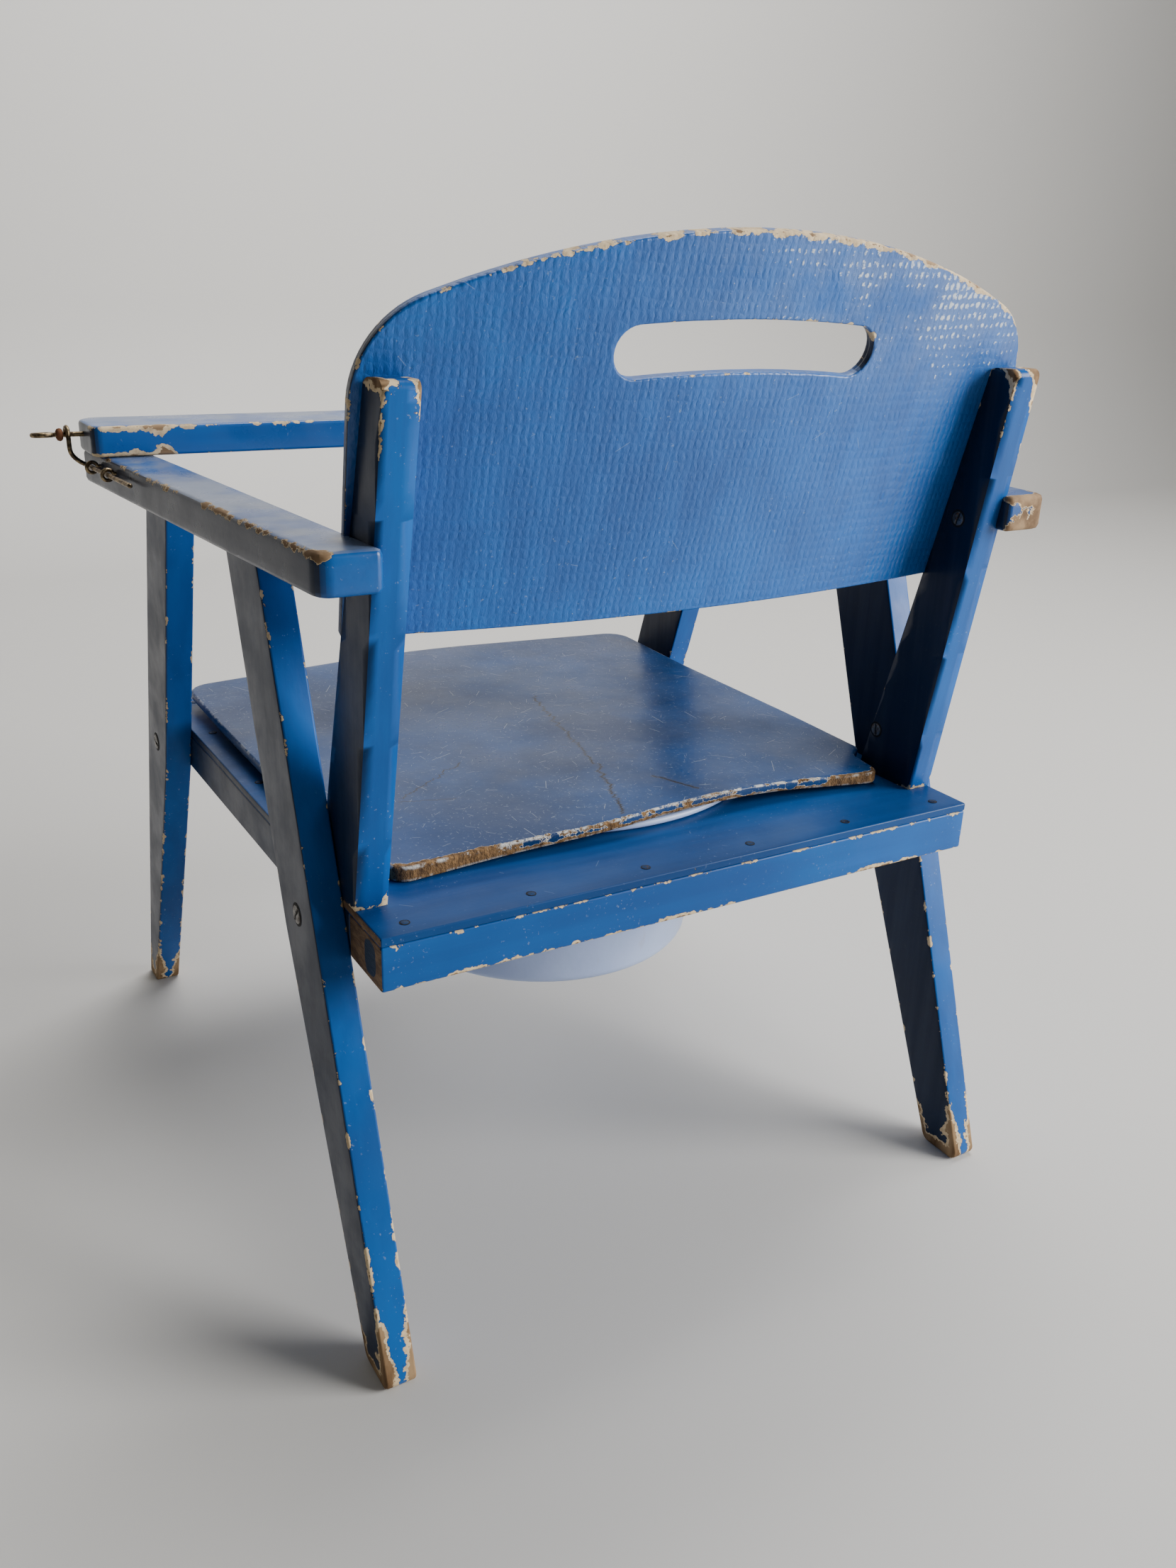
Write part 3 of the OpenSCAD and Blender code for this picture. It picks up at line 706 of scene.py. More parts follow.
low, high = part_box("seat_board")
potty_low, potty_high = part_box("potty")
hole_centre = ((potty_low.x + potty_high.x) / 2, (potty_low.y + potty_high.y) / 2)
hole_radius = 0.099
hole_points = 96
border = [(low.x, low.y), (high.x, low.y), (high.x, high.y), (low.x, high.y)]
board = filled_outline([border, circle(hole_centre, hole_radius, hole_points)], low.z)
board = thickened(board, high.z - low.z)
board_spots = [((0.04, high.y, high.z), (0.2, 0.01, 0.01), 0.12)]
seat_board = worn_piece(board, "worn_seat_board", 0.2, board_spots, (), arris=0.0008)
place_piece(seat_board, "frame", ["seat_board"], paint_seat)
give_ends(seat_board, bare_wood_end)
print("seat board:", len(seat_board.data.polygons), "faces")

# %% Arms
for side, sign in (("left", 1), ("right", -1)):
    node = "arm_" + side
    low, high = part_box(node)
    rear_outer = sign * 0.1785
    steps = [0.0, 0.35, 0.7, 1.0]
    rubbed = []
    for share in steps:
        place = (rear_outer + sign * 0.0187 * share, high.y - share * 0.25, high.z)
        rubbed.append((place, (0.012, 0.05, 0.006), 0.66 - 0.26 * share))
    bare = [((rear_outer, high.y - 0.004, high.z - 0.004), (0.006, 0.006, 0.012), 0.3)]
    if side == "right":
        bare.append(((rear_outer * 0.97, high.y, high.z - 0.008), (0.03, 0.005, 0.02), 1.0))
    piece = worn_piece(wrapped(node), "worn_" + node, 0.2, rubbed, bare, arris=0.0022)
    place_piece(piece, "frame", [node], paint_arm)
print("arms made")

# %% Guard bar
low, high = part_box("guard_bar")
inner_edge_of_arm = 0.168
chafed = ((inner_edge_of_arm, high.y, (low.z + high.z) / 2), (0.0065, 0.004, 0.018), 0.72)
outline_spots = [
    ((0.185, high.y, low.z), (0.022, 0.01, 0.004), 0.65),
    ((0.185, high.y, high.z), (0.022, 0.01, 0.004), 0.4),
    ((0.05, high.y, high.z), (0.2, 0.01, 0.004), 0.3)]
piece = worn_piece(
    wrapped("guard_bar"), "worn_guard_bar", 0.4, outline_spots, [chafed], arris=0.0016)
place_piece(piece, "bar", ["guard_bar"], paint_bar)
print("bar made")

# %% [markdown]
# ## Back panel
# The back is a thin pressed board bent round a large cylinder. Its outline is drawn
# flat first, a wide arch between two round shoulders, with the slot for a hand. The
# flat board is then thickened, bevelled and only at the end bent and leaned into place,
# so its pattern and its edges can be worked out while it is still flat.

# %% Outline of the back
back_height = 0.155
back_half = 0.158
arch_radius = 0.343
shoulder_radius = 0.040
foot_inset = 0.003
slot_length = 0.122
slot_height = 0.020
slot_drop = 0.042
slot_bend = 0.520
back_thickness = 0.005
bow = 0.010
bow_radius = (back_half ** 2 + bow ** 2) / (2 * bow)


def arc(centre, radius, start, end, count):
    angles = [start + (end - start) * index / count for index in range(count + 1)]
    return [(centre[0] + radius * math.cos(a), centre[1] + radius * math.sin(a)) for a in angles]


shoulder_x = back_half - shoulder_radius
inner_radius = arch_radius - shoulder_radius
shoulder_y = back_height - arch_radius + math.sqrt(inner_radius ** 2 - shoulder_x ** 2)
shoulder_turn = math.acos(shoulder_x / inner_radius)
arch_turn = math.pi - shoulder_turn
arch_centre = (0, back_height - arch_radius)
back_outline = [(-back_half + foot_inset, 0), (back_half - foot_inset, 0)]
back_outline += arc((shoulder_x, shoulder_y), shoulder_radius, 0, shoulder_turn, 14)
back_outline += arc(arch_centre, arch_radius, shoulder_turn, arch_turn, 60)[1:-1]
back_outline += arc((-shoulder_x, shoulder_y), shoulder_radius, arch_turn, math.pi, 14)

slot_turn = math.asin((slot_length - slot_height) / 2 / slot_bend)
slot_centre = (0, back_height - slot_drop - slot_bend)
slot_half = slot_height / 2
quarter = math.pi / 2
left_turn, right_turn = quarter + slot_turn, quarter - slot_turn
end_x = slot_bend * math.sin(slot_turn)
end_y = slot_centre[1] + slot_bend * math.cos(slot_turn)
slot = arc(slot_centre, slot_bend + slot_half, right_turn, left_turn, 24)
slot += arc((-end_x, end_y), slot_half, left_turn, 3 * quarter + slot_turn, 14)[1:]
slot += arc(slot_centre, slot_bend - slot_half, left_turn, right_turn, 24)[1:]
slot += arc((end_x, end_y), slot_half, -quarter - slot_turn, right_turn, 14)[1:-1]
print("back outline:", len(back_outline), "points, slot:", len(slot))

# %% Bend it into place
upright_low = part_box("upright_left")[0]
lean = math.radians(15.21)
foot_height = 0.309
foot_y = upright_low.y + (foot_height - upright_low.z) * math.tan(lean)


def bent_back(point):
    across, upward, forward = point
    radius = bow_radius - forward
    angle = across / bow_radius
    x = radius * math.sin(angle)
    out = bow_radius - bow - radius * math.cos(angle)
    y = foot_y + upward * math.sin(lean) - out * math.cos(lean)
    z = foot_height + upward * math.cos(lean) + out * math.sin(lean)
    return (x, y, z)


# %% [markdown]
# The rear face shows the print of the wire screen the board was pressed on: rows of
# small bumps in a plain weave, a bit over three millimetres apart. Two sine waves in
# the board's own plane make them, and a little noise keeps them from looking printed.
# The front face is smooth, so an attribute called `rear` keeps the print off it.

# %% Woven back
weave_pitch = 0.0033


def weave(finish):
    """How far each point lies on a thread that runs up the board, and on one that crosses it."""
    x, y, z = finish.axes()
    upward = y * math.sin(lean) + z * math.cos(lean)
    sway = finish.noise(110, 4.0, 0.65, shift=11.0) * 3.6
    turns = math.pi / weave_pitch
    column = finish.sum("ABSOLUTE", finish.sum("SINE", x * turns + sway))
    row = finish.sum("ABSOLUTE", finish.sum("SINE", upward * (turns * 0.8) + sway))
    return column, column * row


def on_rear(finish, value):
    return value * finish.step(finish.attribute("rear"), 0.4, 0.6)


def rubbed_and_glinting_knots(finish):
    """The bumps near the upper right are painted pale, partly as rubbed paint and partly as
    painted glints of sheen, more of them higher up; a soft pale haze there is painted sheen.
    """
    x, _, z = finish.axes()
    height = finish.step(z, 0.375, 0.45)
    towards_right = finish.step(x, 0.08, -0.10)
    patches = finish.step(finish.noise(38, 4.0, 0.6, shift=15.0), 0.28, 0.6)
    share = height * towards_right * patches
    grit = finish.noise(480, 3.0, 0.65, shift=16.0)
    knots = weave(finish)[1]
    level = knots * 0.4 + grit
    pale = finish.step(share * 0.44 + level, 1.06, 1.2)
    # Painted sheen: a soft pale haze over the upper right of the back.
    film = share * 0.15
    return on_rear(finish, pale * 0.8 + film)


def woven_height(finish):
    column, knots = weave(finish)
    uneven = finish.step(finish.noise(120, 3.0, 0.6, shift=12.0), 0.2, 0.8)
    dashes = finish.noise(760, 3.0, 0.6, (1, 1, 0.3), shift=18.0)
    raised = knots * 0.5 + column * 0.05
    raised = raised * (uneven * 0.7 + 0.3)
    return on_rear(finish, dashes * 0.5 + raised)


# The back's blue is painted brighter than the rest: painted light, as the window falls more
# squarely on it.
paint_back = painted("back paint", (1, 1, 0.3), reach=0.0034, chip_scale=130, undercoat=0.42,
                     tone=1.15, mirror=0.5, height=woven_height, shown=rubbed_and_glinting_knots)

# %% Back panel
flat_back = thickened(filled_outline([back_outline, slot], 0.0), back_thickness)
top_spots = [
    ((0.02, back_height, 0.0), (0.11, 0.02, 0.01), 0.5),
    ((-0.09, back_height - 0.012, 0.0), (0.08, 0.03, 0.01), 0.4),
    ((-0.12, 0.12, 0.0), (0.05, 0.04, 0.01), 0.3),
    ((0.15, 0.10, 0.0), (0.03, 0.05, 0.01), 0.15)]
back_panel = worn_piece(
    flat_back, "worn_back_panel", 0.42, top_spots, (), cell=0.006, arris=0.0009)
flat_places = np.array([vertex.co for vertex in back_panel.data.vertices])
add_attribute(back_panel.data, "rear", (flat_places[:, 2] < 0.002).astype(float))
for vertex in back_panel.data.vertices:
    vertex.co = bent_back(vertex.co)
keep_flat_faces(back_panel)
place_piece(back_panel, "frame", ["back_panel"], paint_back)
print("back panel:", len(back_panel.data.polygons), "faces")

# %% [markdown]
# ## Seat lid
# The lid is a loose sheet of pressed board. Damp has warped it: its rear edge waves, and
# one rear corner sags and has swollen until brown fibres show. The lid's own outline is
# sliced into small cells first, so that a smooth function can bend it.

# %% Lid finish
def crack(finish, x, y, start, end, wander, width):
    """A wandering line from one point of the lid to another, across its own length."""
    start, end = Vector(start), Vector(end)
    along = (end - start).normalized()
    length = (end - start).length
    from_x = x - start.x
    from_y = y - start.y
    forward = from_x * along.x + from_y * along.y
    sideways = from_y * along.x - from_x * along.y
    path = finish.node("ShaderNodeTexNoise", noise_dimensions="1D")
    finish.feed(path.inputs["W"], forward * 110.0 + start.x * 90)
    path.inputs["Scale"].default_value = 1.0
    path.inputs["Detail"].default_value = 5.0
    path.inputs["Roughness"].default_value = 0.7
    bend = (Value(finish, path.outputs["Fac"]) - 0.5) * wander
    gap = finish.sum("ABSOLUTE", sideways - bend)
    narrow = (finish.noise(130, 2.0, shift=14.0) * 1.8 - 0.2) * width
    line = finish.sum("LESS_THAN", gap, narrow)
    inside = finish.sum("GREATER_THAN", forward, 0.0) * finish.sum("LESS_THAN", forward, length)
    lip = finish.step(gap, width * 3.2, width * 0.8)
    return line * inside, lip * inside


def lid_paint(name):
    finish = Finish(name)
    x, y, _ = finish.axes()
    level = chip_level(finish, 0.0032, 150)
    chipped = finish.step(level, 0.0, 0.03)
    to_fibre = finish.step(level, 0.05, 0.14)

    cloud = finish.step(finish.noise(11, 4.0, 0.6, shift=7.0), 0.3, 0.72)
    coat = finish.mix(cloud, (0.003, 0.028, 0.105), (0.004, 0.056, 0.2))
    rubbed = finish.step(finish.noise(7, 4.0, 0.6, shift=8.0), 0.45, 0.7)
    coat = finish.mix(rubbed * 0.3, coat, (0.03, 0.034, 0.04))
    speck = finish.step(finish.noise(700, 2.0, 0.6, shift=2.0), 0.64, 0.7)
    coat = finish.mix(speck * 0.3, coat, (0.34, 0.4, 0.46))
    for spacing, width, length, share, shade in (
            (0.010, 0.00017, 0.0032, 0.55, 0.5),
            (0.021, 0.00020, 0.0075, 0.45, 0.65),
            (0.0055, 0.00014, 0.0014, 0.6, 0.5)):
        line = scratches(finish, (0, 1), spacing, width, length, share, spacing * 900)
        coat = finish.mix(line * shade, coat, (0.42, 0.46, 0.5))

    mottled = finish.step(finish.noise(240, 3.0, 0.7), 0.4, 0.7)
    dust = finish.mix(mottled, (0.72, 0.68, 0.6), (0.45, 0.36, 0.26))
    strands = finish.step(finish.noise(420, 5.0, 0.75, (1, 1, 0.5)), 0.3, 0.72)
    fibre = finish.mix(strands, (0.045, 0.02, 0.007), (0.34, 0.19, 0.075))
    ground = finish.mix(to_fibre, dust, fibre)
    colour = finish.mix(chipped, coat, ground)
    brink = finish.step(finish.attribute("edge"), 0.0014, 0.0005)
    rubbed_line = finish.step(finish.noise(190, 5.0, 0.7, shift=17.0), 0.47, 0.57)
    brink = brink * rubbed_line * finish.attribute("worn")
    colour = finish.mix(finish.sum("MULTIPLY", brink, 1.5, clamp=True), colour, (0.58, 0.58, 0.55))

    split_lines = [
        ((0.018, 0.127, 0), (-0.0035, 0.068, 0), 0.011, 0.00062),
        ((-0.0035, 0.068, 0), (-0.028, -0.047, 0), 0.013, 0.00048),
        ((-0.0295, 0.119, 0), (-0.0195, 0.093, 0), 0.004, 0.0007),
        ((0.101, 0.064, 0), (0.056, 0.033, 0), 0.009, 0.0003),
        ((0.104, 0.067, 0), (0.078, 0.075, 0), 0.005, 0.00022)]
    relief = (1.0 - chipped) * 0.5
    for start, end, wander, width in split_lines:
        line, lip = crack(finish, x, y, start, end, wander, width)
        colour = finish.mix(lip * 0.3, colour, (0.05, 0.035, 0.02))
        colour = finish.mix(line, colour, (0.004, 0.003, 0.002))
        relief = relief - line * 1.2
    finish.set("Base Color", colour)

    smear = finish.step(finish.noise(16, 5.0, 0.62, shift=3.0), 0.3, 0.7)
    rough = smear * 0.16 + chipped * 0.45 + 0.26
    finish.set("Roughness", rough)
    finish.set("Specular IOR Level", 0.3)
    grit = strands * (chipped * 0.9)
    ripple = finish.noise(240, 4.0, 0.6, shift=6.0) * 0.14
    relief = relief + grit + ripple
    finish.set("Normal", finish.bump(relief, 0.0005))
    return finish.material


paint_lid = lid_paint("lid paint")

# %% Lid
lid_low, lid_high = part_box("seat_lid")


def smooth_step(value):
    value = min(max(value, 0.0), 1.0)
    return value * value * (3 - 2 * value)


def warped(point):
    """Where damp has moved a point: all the heights here are about two millimetres."""
    x, y, z = point
    rear = smooth_step((y - 0.03) / (lid_high.y - 0.03))
    overhang = smooth_step((math.hypot(x - hole_centre[0], y - hole_centre[1]) - 0.106) / 0.055)
    left = smooth_step((x - 0.02) / 0.11)
    rightward = smooth_step((-x - 0.06) / 0.08)
    top = (z - lid_low.z) / (lid_high.z - lid_low.z)
    sag = rear * overhang * (0.0022 * left + 0.0012 * rightward)
    rise = 0.0022 * rear * math.exp(-((x + 0.03) / 0.05) ** 2)
    curl = 0.0016 * smooth_step((-0.06 - y) / 0.09)
    swell = rear ** 3 * (0.0017 * left + 0.0008 * rightward)
    z = z - sag + rise + curl - (1 - top) * swell + top * swell * 0.3
    y = y + rear ** 4 * 0.003 * math.sin(x * 34 + 0.9)
    return (x, y, z)


rear_edge = [((x, lid_high.y - 0.004, lid_high.z), (0.05, 0.012, 0.004), 0.3)
             for x in (0.09, 0.02, -0.06)]
lid_bare = [
    ((0.124, lid_high.y, lid_low.z + 0.0005), (0.042, 0.010, 0.0052), 1.5),
    ((-0.128, lid_high.y, lid_low.z + 0.0015), (0.028, 0.010, 0.0048), 1.4),
    ((0.0, lid_high.y - 0.006, lid_low.z), (0.10, 0.009, 0.0030), 0.8)]
lid = worn_piece(copied("seat_lid"), "worn_seat_lid", 0.34, rear_edge, lid_bare,
                 cell=0.005, arris=0.0011, after=warped)
place_piece(lid, "lid", ["seat_lid"], paint_lid)
print("lid:", len(lid.data.polygons), "faces")

# %% [markdown]
# ## Potty
# A thin plastic bowl is a shape turned round one axis, so half of its outline, spun
# round, gives all of it. Small arcs at the rim, the foot and the inside corner make the
# soft edges that moulded plastic has.

# %% Potty finish
def plastic(name):
    finish = Finish(name)
    haze = finish.step(finish.noise(14, 3.0, 0.6), 0.3, 0.7)
    colour = finish.mix(haze, (0.42, 0.53, 0.82), (0.50, 0.61, 0.90))
    scuff = finish.step(finish.noise(160, 4.0, 0.7, (1, 1, 0.15)), 0.62, 0.72)
    colour = finish.mix(scuff * 0.3, colour, (0.44, 0.46, 0.58))
    finish.set("Base Color", colour)
    finish.set("Roughness", haze * 0.12 + 0.26)
    finish.set("Subsurface Weight", 0.12)
    finish.set("Subsurface Radius", (0.004, 0.004, 0.005))
    finish.set("Normal", finish.bump(finish.noise(180, 3.0), 0.00012))
    return finish.material


plastic_pale = plastic("pale plastic")

# %% Potty
def turned(profile, centre, count, name):
    shape = bmesh.new()
    rings = []
    for radius, z in profile:
        if radius < 1e-6:
            rings.append([shape.verts.new((centre[0], centre[1], z))])
            continue
        ring = circle(centre, radius, count)
        rings.append([shape.verts.new((x, y, z)) for x, y in ring])
    for first, second in zip(rings, rings[1:]):
        for index in range(count):
            after = (index + 1) % count
            corners = [first[index % len(first)], first[after % len(first)],
                       second[after % len(second)], second[index % len(second)]]
            unique = list(dict.fromkeys(corners))
            shape.faces.new(unique)
    bmesh.ops.remove_doubles(shape, verts=shape.verts, dist=1e-7)
    bmesh.ops.recalc_face_normals(shape, faces=shape.faces)
    return as_object(shape, name)


wall = 0.0024
rim_thickness = 0.0035
rim_radius = (potty_high.x - potty_low.x) / 2
body_radius = rim_radius - 0.016
foot_radius = body_radius - 0.014
floor_z = potty_low.z
rim_z = potty_high.z - rim_thickness
rim_half = rim_thickness / 2
foot_round = 0.006
inner_round = 0.008
mouth_round = 0.0035
mouth = (body_radius + 0.001, potty_high.z - mouth_round)
inner_corner = (foot_radius - wall - inner_round, floor_z + wall + inner_round)
potty_profile = [(0, floor_z + 0.0012), (foot_radius - 0.016, floor_z + 0.0012)]
potty_profile += [(foot_radius - 0.014, floor_z)]
potty_profile += arc((foot_radius - foot_round, floor_z + foot_round), foot_round, -quarter, 0, 6)
potty_profile += [(body_radius - 0.0012, rim_z - 0.003)]
potty_profile += arc((body_radius + 0.0022, rim_z - 0.0028), 0.0028, 2 * quarter, quarter, 5)
potty_profile += [(rim_radius - 0.004, rim_z)]
potty_profile += arc((rim_radius - 0.0018, rim_z + rim_half), rim_half, -quarter, quarter, 7)
potty_profile += [(mouth[0], potty_high.z)]
potty_profile += arc(mouth, mouth_round, quarter, 2 * quarter, 5)[1:]
potty_profile += arc(inner_corner, inner_round, 0, -quarter, 6)
potty_profile += [(0, floor_z + wall)]
potty = turned(potty_profile, hole_centre, 128, "turned_potty")
place_piece(potty, "potty", ["potty"], plastic_pale)
print("potty profile:", len(potty_profile), "points")

# %% [markdown]
# ## Aged metal
# The hook, the eyes and the collar are wire gone dark with age. Two metals are enough:
# a dark brass with a brown film, and steel with rust where the film is thick. Heads of
# screws and nails carry one more attribute, which marks their slots and the ring where
# they sink into the wood: these are painted near black, as painted shade.

# %% Metals
def aged_metal(name, bright, dull, rust, rusted, rough):
    finish = Finish(name)
    film = finish.step(finish.noise(420, 4.0, 0.65, shift=2.0), 0.35, 0.65)
    colour = finish.mix(film, bright, dull)
    least = 0.72 - rusted * 0.45
    crust = finish.step(finish.noise(560, 5.0, 0.7, shift=5.0), least, least + 0.08)
    colour = finish.mix(crust, colour, rust)
    # Painted shade: the slots and the countersink ring round each head are painted near black.
    groove = finish.attribute("groove")
    colour = finish.mix(groove, colour, (0.006, 0.005, 0.004))
    crust = finish.sum("MAXIMUM", crust, groove)
    finish.set("Base Color", colour)
    finish.set("Metallic", finish.sum("SUBTRACT", 1.0, crust, clamp=True))
    finish.set("Roughness", crust * 0.4 + rough)
    relief = crust * 0.6 + film * 0.25
    finish.set("Normal", finish.bump(relief, 0.00015))
    return finish.material


brass_dark = aged_metal(
    "dark brass", (0.36, 0.27, 0.15), (0.09, 0.065, 0.04), (0.11, 0.05, 0.02), 0.35, 0.34)
steel_dull = aged_metal(
    "dull steel", (0.30, 0.29, 0.27), (0.10, 0.095, 0.09), (0.13, 0.06, 0.03), 0.4, 0.4)
flaked = aged_metal(
    "flaked nail", (0.02, 0.05, 0.12), (0.004, 0.03, 0.10), (0.075, 0.042, 0.026), 0.42, 0.4)
rusty = aged_metal(
    "rusty steel", (0.14, 0.09, 0.06), (0.06, 0.035, 0.02), (0.17, 0.065, 0.025), 0.9, 0.55)

# %% [markdown]
# A wire is a line with a thickness. A curve with a round bevel gives that directly, and
# its rounded ends come from tapering the radius at the last points.

# %% Wires
def with_short_ends(path, radius):
    """The same path with extra points close to both ends, where the wire narrows."""
    start, second, before, end = (Vector(path[index]) for index in (0, 1, -2, -1))
    forward = (second - start).normalized() * radius
    backward = (before - end).normalized() * radius
    return ([start, start + forward * 0.3, start + forward] + list(path[1:-1])
            + [end + backward, end + backward * 0.3, end])


def wire(name, paths, radius, closed=False, resolution=5):
    curve = bpy.data.curves.new(name, "CURVE")
    curve.dimensions = "3D"
    curve.bevel_depth = radius
    curve.bevel_resolution = resolution
    curve.use_fill_caps = True
    for path in paths:
        if not closed:
            path = with_short_ends(path, radius)
        spline = curve.splines.new("POLY")
        spline.points.add(len(path) - 1)
        for point, place in zip(spline.points, path):
            point.co = (*place, 1)
        spline.use_cyclic_u = closed
        if not closed:
            for index, share in ((0, 0.5), (1, 0.85), (-2, 0.85), (-1, 0.5)):
                spline.points[index].radius = share
    holder = bpy.data.objects.new(name, curve)
    bpy.context.scene.collection.objects.link(holder)
    bpy.context.view_layer.update()
    evaluated = holder.evaluated_get(bpy.context.evaluated_depsgraph_get())
    mesh = bpy.data.meshes.new_from_object(evaluated)
    mesh.name = name
    bpy.data.objects.remove(holder)
    for face in mesh.polygons:
        face.use_smooth = True
    made = bpy.data.objects.new(name, mesh)
    bpy.context.scene.collection.objects.link(made)
    return made


def rounded_path(corners, bend, count=6):
    """Straight runs joined by soft bends of about the given radius."""
    path = [Vector(corners[0])]
    for before, corner, after in zip(corners, corners[1:], corners[2:]):
        corner = Vector(corner)
        back_part = Vector(before) - corner
        next_part = Vector(after) - corner
        reach = min(bend, back_part.length * 0.49, next_part.length * 0.49)
        start = corner + back_part.normalized() * reach
        end = corner + next_part.normalized() * reach
        for step in range(count + 1):
            share = step / count
            path.append(start * (1 - share) ** 2 + corner * 2 * share * (1 - share)
                        + end * share ** 2)
    path.append(Vector(corners[-1]))
    return path


def joined(pieces, name):
    shape = bmesh.new()
    for piece in pieces:
        shape.from_mesh(piece.data)
        bpy.data.objects.remove(piece)
    return as_object(shape, name)


eye_low, eye_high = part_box("screw_eye")
bar_low, bar_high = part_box("guard_bar")
wire_radius = (eye_high.z - eye_low.z) / 2
eye_y = (eye_low.y + eye_high.y) / 2
eye_z = (eye_low.z + eye_high.z) / 2
ring_radius = (eye_high.y - eye_low.y) / 2 - wire_radius
ring_x = eye_high.x - ring_radius - wire_radius

ring_tilt = 0.0004
ring_path = [(x, y, eye_z + ring_tilt * (y - eye_y) / ring_radius)
             for x, y in circle((ring_x, eye_y), ring_radius, 40)]
ring = wire("ring", [ring_path], wire_radius, closed=True)
shank_start = bar_high.x - 0.010
shank_step = (ring_x - ring_radius - shank_start) / 8
shank_path = [(shank_start + index * shank_step, eye_y, eye_z) for index in range(9)]
shank = wire("shank", [shank_path], wire_radius)
eye = joined([ring, shank], "screw_eye_wire")
place_piece(eye, "bar", ["screw_eye"], brass_dark)
print("eye ring radius", round(ring_radius, 4))

# %% [markdown]
# The collar is a lump of rust round the shank. A turned outline gives its rings and a
# little noise on its points makes it uneven.

# %% Collar
collar_low, collar_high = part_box("eye_collar")
collar_radius = (collar_high.z - collar_low.z) / 2
collar_length = collar_high.x - collar_low.x
bore = wire_radius * 0.9
outline = [(bore, 0.0), (collar_radius * 0.72, 0.0), (collar_radius * 0.97, 0.25),
           (collar_radius, 0.5), (collar_radius * 0.9, 0.8), (collar_radius * 0.6, 1.0),
           (bore, 1.0), (bore, 0.0)]
collar = turned(
    [(radius, share * collar_length) for radius, share in outline], (0, 0), 28, "rusty_collar")
for index, vertex in enumerate(collar.data.vertices):
    across, depth, along = vertex.co
    uneven = 1 + 0.05 * math.sin(index * 2.3) * math.sin(index * 0.71)
    vertex.co = (collar_low.x + along, eye_y + across * uneven, eye_z + depth * uneven)
place_piece(collar, "bar", ["eye_collar"], rusty)

# %% [markdown]
# ## The hook
# Its rod lies along the arm in two small eyes, and its front end rises and curls over
# the screw eye's shank, which keeps the bar shut. The rod's line comes from the joint
# that the hook turns on.

# %% Hook and its eyes
hook_joint = [joint for joint in frame["joints"] if joint["name"] == "hook_swing"][0]
rod_start = Vector(hook_joint["pos_m"])
rod_line = Vector(hook_joint["axis"]).normalized()
outward = Vector((rod_line.y, -rod_line.x, 0)).normalized()
rod_length = 0.068
tip = rod_start + outward * 0.0075
curl = wire_radius * 2 + 0.0009
curl_points = []
for step in range(9):
    angle = math.radians(20 + step * 24)
    curl_points.append((tip.x, eye_y + curl * math.cos(angle), eye_z + curl * math.sin(angle)))
hook_corners = [
    rod_start + rod_line * rod_length,
    rod_start + rod_line * 0.001,
    rod_start + outward * 0.0035 + Vector((0, 0.0012, 0.002)),
    Vector((tip.x, eye_y + curl + 0.0002, rod_start.z + 0.006)),
    Vector(curl_points[0])]
hook_path = rounded_path(hook_corners, 0.0035)
hook_path += [Vector(point) for point in curl_points[1:]]
hook = wire("latch_hook_wire", [hook_path], wire_radius * 0.92, resolution=6)
place_piece(hook, "hook", ["latch_hook"], brass_dark)

eyelet_radius = wire_radius + 0.0013
eyelets = []
for distance in (0.009, 0.034):
    middle = rod_start + rod_line * distance
    path = []
    for step in range(17):
        angle = math.radians(205 + step * 20)
        round_rod = outward * math.cos(angle) + Vector((0, 0, 1)) * math.sin(angle)
        path.append(middle + round_rod * eyelet_radius + rod_line * 0.0009 * (step / 16 - 0.5))
    path.append(path[-1] - outward * 0.004)
    path = [path[0] - outward * 0.004] + path
    eyelets.append(wire("eyelet", [path], 0.0009))
eyelets = joined(eyelets, "hook_eyelet_wires")
place_piece(eyelets, "frame", ["hook_eyelets"], brass_dark)
print("hook path:", len(hook_path), "points")

# %% [markdown]
# ## Screws and nails
# The same slotted screw appears in many places. Geometry Nodes put one screw head on
# each marked point, turned by its own random angle, so a change to the head changes all
# of them. The tree ends by making the copies real and giving them their material.

# %% A slotted head
def slotted_head(name, radius, dome, slot_width, slot_depth):
    """A low dome cut by a slot, in the middle of a flat ring where it sinks into the wood; the
    ring and the slot are marked for painted shade.
    """
    shape = bmesh.new()
    dark = shape.verts.layers.float.new("groove")
    spokes = 32
    shares = [0.0, 0.13, 0.26, 0.4, 0.54, 0.68, 0.76, 0.79, 0.98, 1.0]
    grid = []
    for share in shares:
        row = []
        for spoke in range(spokes):
            angle = 2 * math.pi * spoke / spokes
            x = radius * share * math.cos(angle)
            y = radius * share * math.sin(angle)
            on_head = share < 0.77
            in_slot = on_head and abs(y) < slot_width / 2
            z = dome * math.sqrt(1 - share ** 2) if on_head else 0.00015
            corner = shape.verts.new((x, y, z - slot_depth if in_slot else z))
            # Painted shade: the slot and the flat ring round the head, a sheet that stands for the
            # countersink's shade, are marked to be painted near black.
            corner[dark] = 0.0 if on_head and not in_slot else 1.0
            row.append(corner)
        grid.append(row)
    grid.append([shape.verts.new((v.co.x, v.co.y, -0.0004)) for v in grid[-1]])
    for first, second in zip(grid, grid[1:]):
        for index in range(spokes):
            after = (index + 1) % spokes
            shape.faces.new((first[index], first[after], second[after], second[index]))
    bmesh.ops.remove_doubles(shape, verts=shape.verts, dist=1e-6)
    shape.faces.new([v for v in reversed(grid[-1]) if v.is_valid])
    bmesh.ops.recalc_face_normals(shape, faces=shape.faces)
    return as_object(shape, name, smooth=False)


